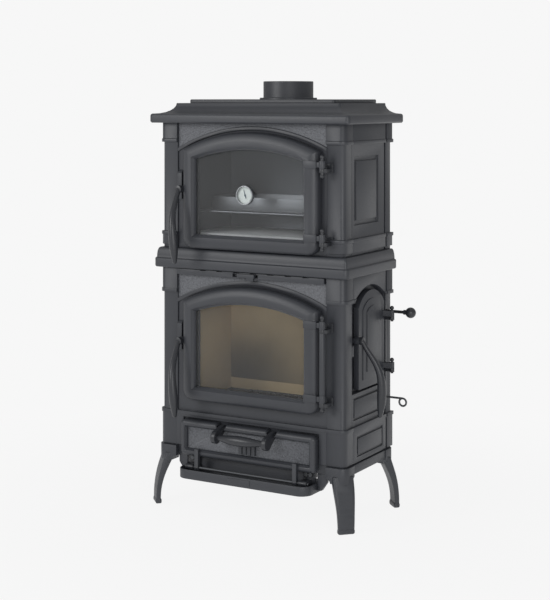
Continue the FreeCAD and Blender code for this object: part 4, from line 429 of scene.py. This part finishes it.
# ---------------------------------------------------------------- operators
class STOVE_OT_castings(bpy.types.Operator):
    """Round and paint the iron castings of the body"""
    bl_idname = "stove.castings"
    bl_label = "Castings"

    def execute(self, context):
        sizes = context.scene.stove_sizes
        for storey in ("lower", "upper"):
            plate = f"{storey}_front_plate"
            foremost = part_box(plate)[0].y
            door_low, door_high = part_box("fire_door_frame" if storey == "lower" else "oven_door_frame")
            ridge = door_high.z - (door_high.z - door_low.z) * RIDGE_SHARE
            front = foremost + PLATE_FIELD[storey]

            def above_the_ridge(face, front=front, ridge=ridge):
                return lies_on(face, front) and min(v.co.z for v in face.verts) > ridge

            # The field above the ridge carries painted highlight on its grains and painted shade between
            # them.
            soften(plate, sizes.edge_round, ("iron", "hammered"), above_the_ridge)
        for node in ("base_frame", "legs", "lower_posts", "upper_posts", "right_lower_panel",
                     "left_lower_panel", "right_upper_panel", "left_upper_panel",
                     "lower_back_panel", "upper_back_panel", "middle_ledge", "top_plate",
                     "top_cover", "flue_collar", "side_door", "ash_ledge", "ash_ledge_brackets"):
            soften(node, sizes.edge_round)
        return {"FINISHED"}


class STOVE_OT_front_doors(bpy.types.Operator):
    """Finish the two glazed doors: frames, panes, clips, seals and levers"""
    bl_idname = "stove.front_doors"
    bl_label = "Glazed doors"

    def execute(self, context):
        sizes = context.scene.stove_sizes
        for door in ("fire", "oven"):
            soften(f"{door}_door_frame", sizes.edge_round, smooth=40)
            soften(f"{door}_door_handle", sizes.fine_round, ("handle",), smooth=60)
            dress(f"{door}_door_glass", "pane")
            dress(f"{door}_door_seal", "rope")
            soften(f"{door}_door_glass_clips", sizes.fine_round / 2, ("black",))
        soften("fire_door_hinge_sleeve", sizes.fine_round)
        return {"FINISHED"}


class STOVE_OT_hinges(bpy.types.Operator):
    """Finish the hinges, keepers and rods"""
    bl_idname = "stove.hinges"
    bl_label = "Hinges and rods"

    def execute(self, context):
        sizes = context.scene.stove_sizes
        # Painted shade: the door hinge brackets take the darker handle iron to stand for the shade they sit
        # in.
        soften("door_hinge_brackets", sizes.fine_round, ("handle",))
        soften("door_keepers", sizes.fine_round)
        dress("door_hinge_pins", "handle")
        dress("ash_door_hinge_rod", "dull")
        soften("ash_door_hinge_brackets", sizes.fine_round, ("handle",))
        dress("ash_door_bolts", "dull")
        soften("damper_rod", sizes.fine_round, ("black",))
        dress("damper_knob", "handle")
        dress("shaker_rod", "dull")
        soften("rod_bushes", sizes.fine_round)
        soften("air_guide", sizes.fine_round)
        soften("air_slider", sizes.fine_round)
        dress("panel_screws", "black")
        return {"FINISHED"}


class STOVE_OT_side_door(bpy.types.Operator):
    """Finish the loading door's lever and seal"""
    bl_idname = "stove.side_door"
    bl_label = "Loading door"

    def execute(self, context):
        sizes = context.scene.stove_sizes
        soften("side_door_handle", sizes.fine_round, ("handle",), smooth=60)
        dress("side_door_seal", "rope")
        return {"FINISHED"}


class STOVE_OT_ash_door(bpy.types.Operator):
    """Finish the ash door with its rough field, bow handle and name plate"""
    bl_idname = "stove.ash_door"
    bl_label = "Ash door"

    def execute(self, context):
        sizes = context.scene.stove_sizes
        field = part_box("ash_door")[0].y + ASH_FIELD

        def on_the_field(face):
            return lies_on(face, field)

        # The ash door's field carries painted highlight on its grains and painted shade between them.
        soften("ash_door", sizes.edge_round, ("iron", "hammered"), on_the_field, 45)
        soften("ash_door_handle", sizes.fine_round, ("handle",), smooth=60)
        soften("ash_ledge_nameplate", 0.0002)
        return {"FINISHED"}


class STOVE_OT_thermometer(bpy.types.Operator):
    """Finish the oven thermometer: case, dial with its scale, needle and lens"""
    bl_idname = "stove.thermometer"
    bl_label = "Thermometer"

    def execute(self, context):
        sizes = context.scene.stove_sizes
        soften("thermometer_case", sizes.fine_round, ("bright",))
        dress("thermometer_dial", "dial")
        dress("thermometer_needle", "needle")
        dress("thermometer_lens", "lens")
        low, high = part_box("thermometer_dial")
        middle = (low + high) / 2
        radius = (high.x - low.x) / 2
        tree, inputs = new_tree("dial_scale", Radius=radius * 0.86, Marks=sizes.dial_divisions + 1,
                                Length=radius * 0.13, Width=radius * 0.035)
        sweep = math.radians(270)
        arc = add_node(tree, "GeometryNodeCurveArc",
                       {"Start Angle": math.radians(-45), "Sweep Angle": sweep},
                       {"Resolution": inputs.outputs["Marks"], "Radius": inputs.outputs["Radius"]})
        points = add_node(tree, "GeometryNodeCurveToPoints", links={"Curve": arc.outputs["Curve"],
                                                                    "Count": inputs.outputs["Marks"]})
        box = add_node(tree, "ShaderNodeCombineXYZ", {"Z": 0.0002},
                       {"X": inputs.outputs["Width"], "Y": inputs.outputs["Length"]})
        mark = add_node(tree, "GeometryNodeMeshCube", links={"Size": box.outputs[0]})
        turn = add_node(tree, "FunctionNodeRotateEuler", {"Rotate By": (0, 0, 0)},
                        {"Rotation": points.outputs["Rotation"]})
        ticks = add_node(tree, "GeometryNodeInstanceOnPoints",
                         links={"Points": points.outputs["Points"], "Instance": mark.outputs["Mesh"],
                                "Rotation": turn.outputs[0]})
        stand = add_node(tree, "GeometryNodeTransform",
                         {"Translation": (middle.x, low.y - 0.00012, middle.z),
                          "Rotation": (math.radians(90), 0, 0)},
                         {"Geometry": ticks.outputs[0]})
        close_tree(tree, stand.outputs[0], "ink")
        scale = geometry_object("thermometer_scale", tree, "thermometer_dial", ("ink",))
        return {"FINISHED"}


class STOVE_OT_fire_box(bpy.types.Operator):
    """Finish the inside of the fire: boards, floor, grate and pan"""
    bl_idname = "stove.fire_box"
    bl_label = "Inside of the fire"

    def execute(self, context):
        sizes = context.scene.stove_sizes
        soften("firebox_liners", sizes.edge_round, ("board",))
        soften("firebox_floor", sizes.edge_round, ("sooty",))
        soften("grate", sizes.edge_round, ("sooty",))
        soften("ash_pan", sizes.fine_round, ("black",))
        return {"FINISHED"}


class STOVE_OT_oven(bpy.types.Operator):
    """Finish the inside of the oven: box, floor stone, rack and tray"""
    bl_idname = "stove.oven"
    bl_label = "Inside of the oven"

    def execute(self, context):
        sizes = context.scene.stove_sizes
        soften("oven_box", sizes.fine_round, ("oven",))
        # The slab's near-white colour is partly painted light falling on the oven floor.
        soften("oven_floor_slab", sizes.edge_round, ("slab",))
        soften("baking_tray", sizes.fine_round, ("tray",))
        dress("oven_rack", "bright")
        return {"FINISHED"}


def aim(thing, target):
    thing.rotation_euler = (Vector(target) - thing.location).to_track_quat("-Z", "Y").to_euler()


class STOVE_OT_stage(bpy.types.Operator):
    """Set the floor, soft light and the camera"""
    bl_idname = "stove.stage"
    bl_label = "Stage"

    def execute(self, context):
        scene = context.scene
        backdrop = rgba(scene.stove_colours.backdrop)
        floor_mesh = bpy.data.meshes.new("studio_floor")
        corners = [(x * FLOOR_REACH, y * FLOOR_REACH, 0) for x, y in ((-1, -1), (1, -1), (1, 1), (-1, 1))]
        floor_mesh.from_pydata(corners, [], [(0, 1, 2, 3)])
        floor = bpy.data.objects.new("studio_floor", floor_mesh)
        scene.collection.objects.link(floor)
        material, place = blank_material("pale_studio_floor")
        matt = add_node(material, "ShaderNodeBsdfPrincipled", {"Base Color": rgba(shade(backdrop, 0.97)),
                                                               "Roughness": 1.0, "Specular IOR Level": 0.0})
        plain = add_node(material, "ShaderNodeEmission", {"Color": backdrop, "Strength": 1.0})
        span = add_node(material, "ShaderNodeVectorMath", links={0: place}, operation="LENGTH")
        fade = add_node(material, "ShaderNodeMapRange", {"From Min": 0.35, "From Max": 1.5, "To Min": 0.95},
                        {"Value": span.outputs["Value"]}, interpolation_type="SMOOTHSTEP")
        both = add_node(material, "ShaderNodeMixShader", links={0: fade.outputs["Result"], 1: matt.outputs[0],
                                                               2: plain.outputs[0]})
        floor_mesh.materials.append(close_material(material, both))

        world = bpy.data.worlds.new("studio")
        world.use_nodes = True
        world.node_tree.nodes.clear()
        seen = add_node(world, "ShaderNodeBackground", {"Color": backdrop, "Strength": 1.0})
        light = add_node(world, "ShaderNodeBackground", {"Color": (1, 1, 1, 1), "Strength": WORLD_LIGHT})
        ray = add_node(world, "ShaderNodeLightPath")
        direct = add_node(world, "ShaderNodeMath", links={0: ray.outputs["Is Camera Ray"],
                                                         1: ray.outputs["Is Transmission Ray"]},
                          operation="MAXIMUM")
        mix = add_node(world, "ShaderNodeMixShader", links={0: direct.outputs[0], 1: light.outputs[0],
                                                           2: seen.outputs[0]})
        add_node(world, "ShaderNodeOutputWorld", links={"Surface": mix.outputs[0]})
        scene.world = world

        middle = (CAD_BOX[0] + CAD_BOX[1]) / 2
        for name, place, size, power in LAMPS:
            lamp = bpy.data.lights.new(name, "AREA")
            lamp.size = size
            lamp.energy = power
            thing = bpy.data.objects.new(name, lamp)
            thing.location = place
            scene.collection.objects.link(thing)
            aim(thing, middle)

        camera = bpy.data.cameras.new("camera")
        camera.lens = CAMERA_LENS
        camera.sensor_width = CAMERA_SENSOR
        camera.shift_y = CAMERA_SHIFT
        view = bpy.data.objects.new("camera", camera)
        view.location = CAMERA_PLACE
        view.rotation_euler = (math.radians(90), 0, CAMERA_TURN)
        scene.collection.objects.link(view)
        scene.camera = view
        scene.view_settings.view_transform = "Standard"
        return {"FINISHED"}


class STOVE_PT_panel(bpy.types.Panel):
    """Lists the steps that dress the stove"""
    bl_label = "Stove"
    bl_idname = "STOVE_PT_panel"
    bl_space_type = "VIEW_3D"
    bl_region_type = "UI"
    bl_category = "Stove"

    def draw(self, context):
        for group in (context.scene.stove_sizes, context.scene.stove_colours):
            for name in group.__annotations__:
                self.layout.prop(group, name)
        for step in STEPS:
            self.layout.operator(step.bl_idname)


STEPS = (STOVE_OT_castings, STOVE_OT_front_doors, STOVE_OT_hinges, STOVE_OT_side_door,
         STOVE_OT_ash_door, STOVE_OT_thermometer, STOVE_OT_fire_box, STOVE_OT_oven,
         STOVE_OT_stage)
CLASSES = (StoveSizes, StoveColours, *STEPS, STOVE_PT_panel)


def register():
    for item in CLASSES:
        bpy.utils.register_class(item)
    bpy.types.Scene.stove_sizes = PointerProperty(type=StoveSizes)
    bpy.types.Scene.stove_colours = PointerProperty(type=StoveColours)


def unregister():
    del bpy.types.Scene.stove_sizes
    del bpy.types.Scene.stove_colours
    for item in reversed(CLASSES):
        bpy.utils.unregister_class(item)


def main():
    register()
    scene = bpy.context.scene
    make_materials(scene.stove_sizes, scene.stove_colours)
    for step in STEPS:
        group, name = step.bl_idname.split(".")
        getattr(getattr(bpy.ops, group), name)()
    bpy.context.view_layer.update()


if __name__ == "__main__":
    main()
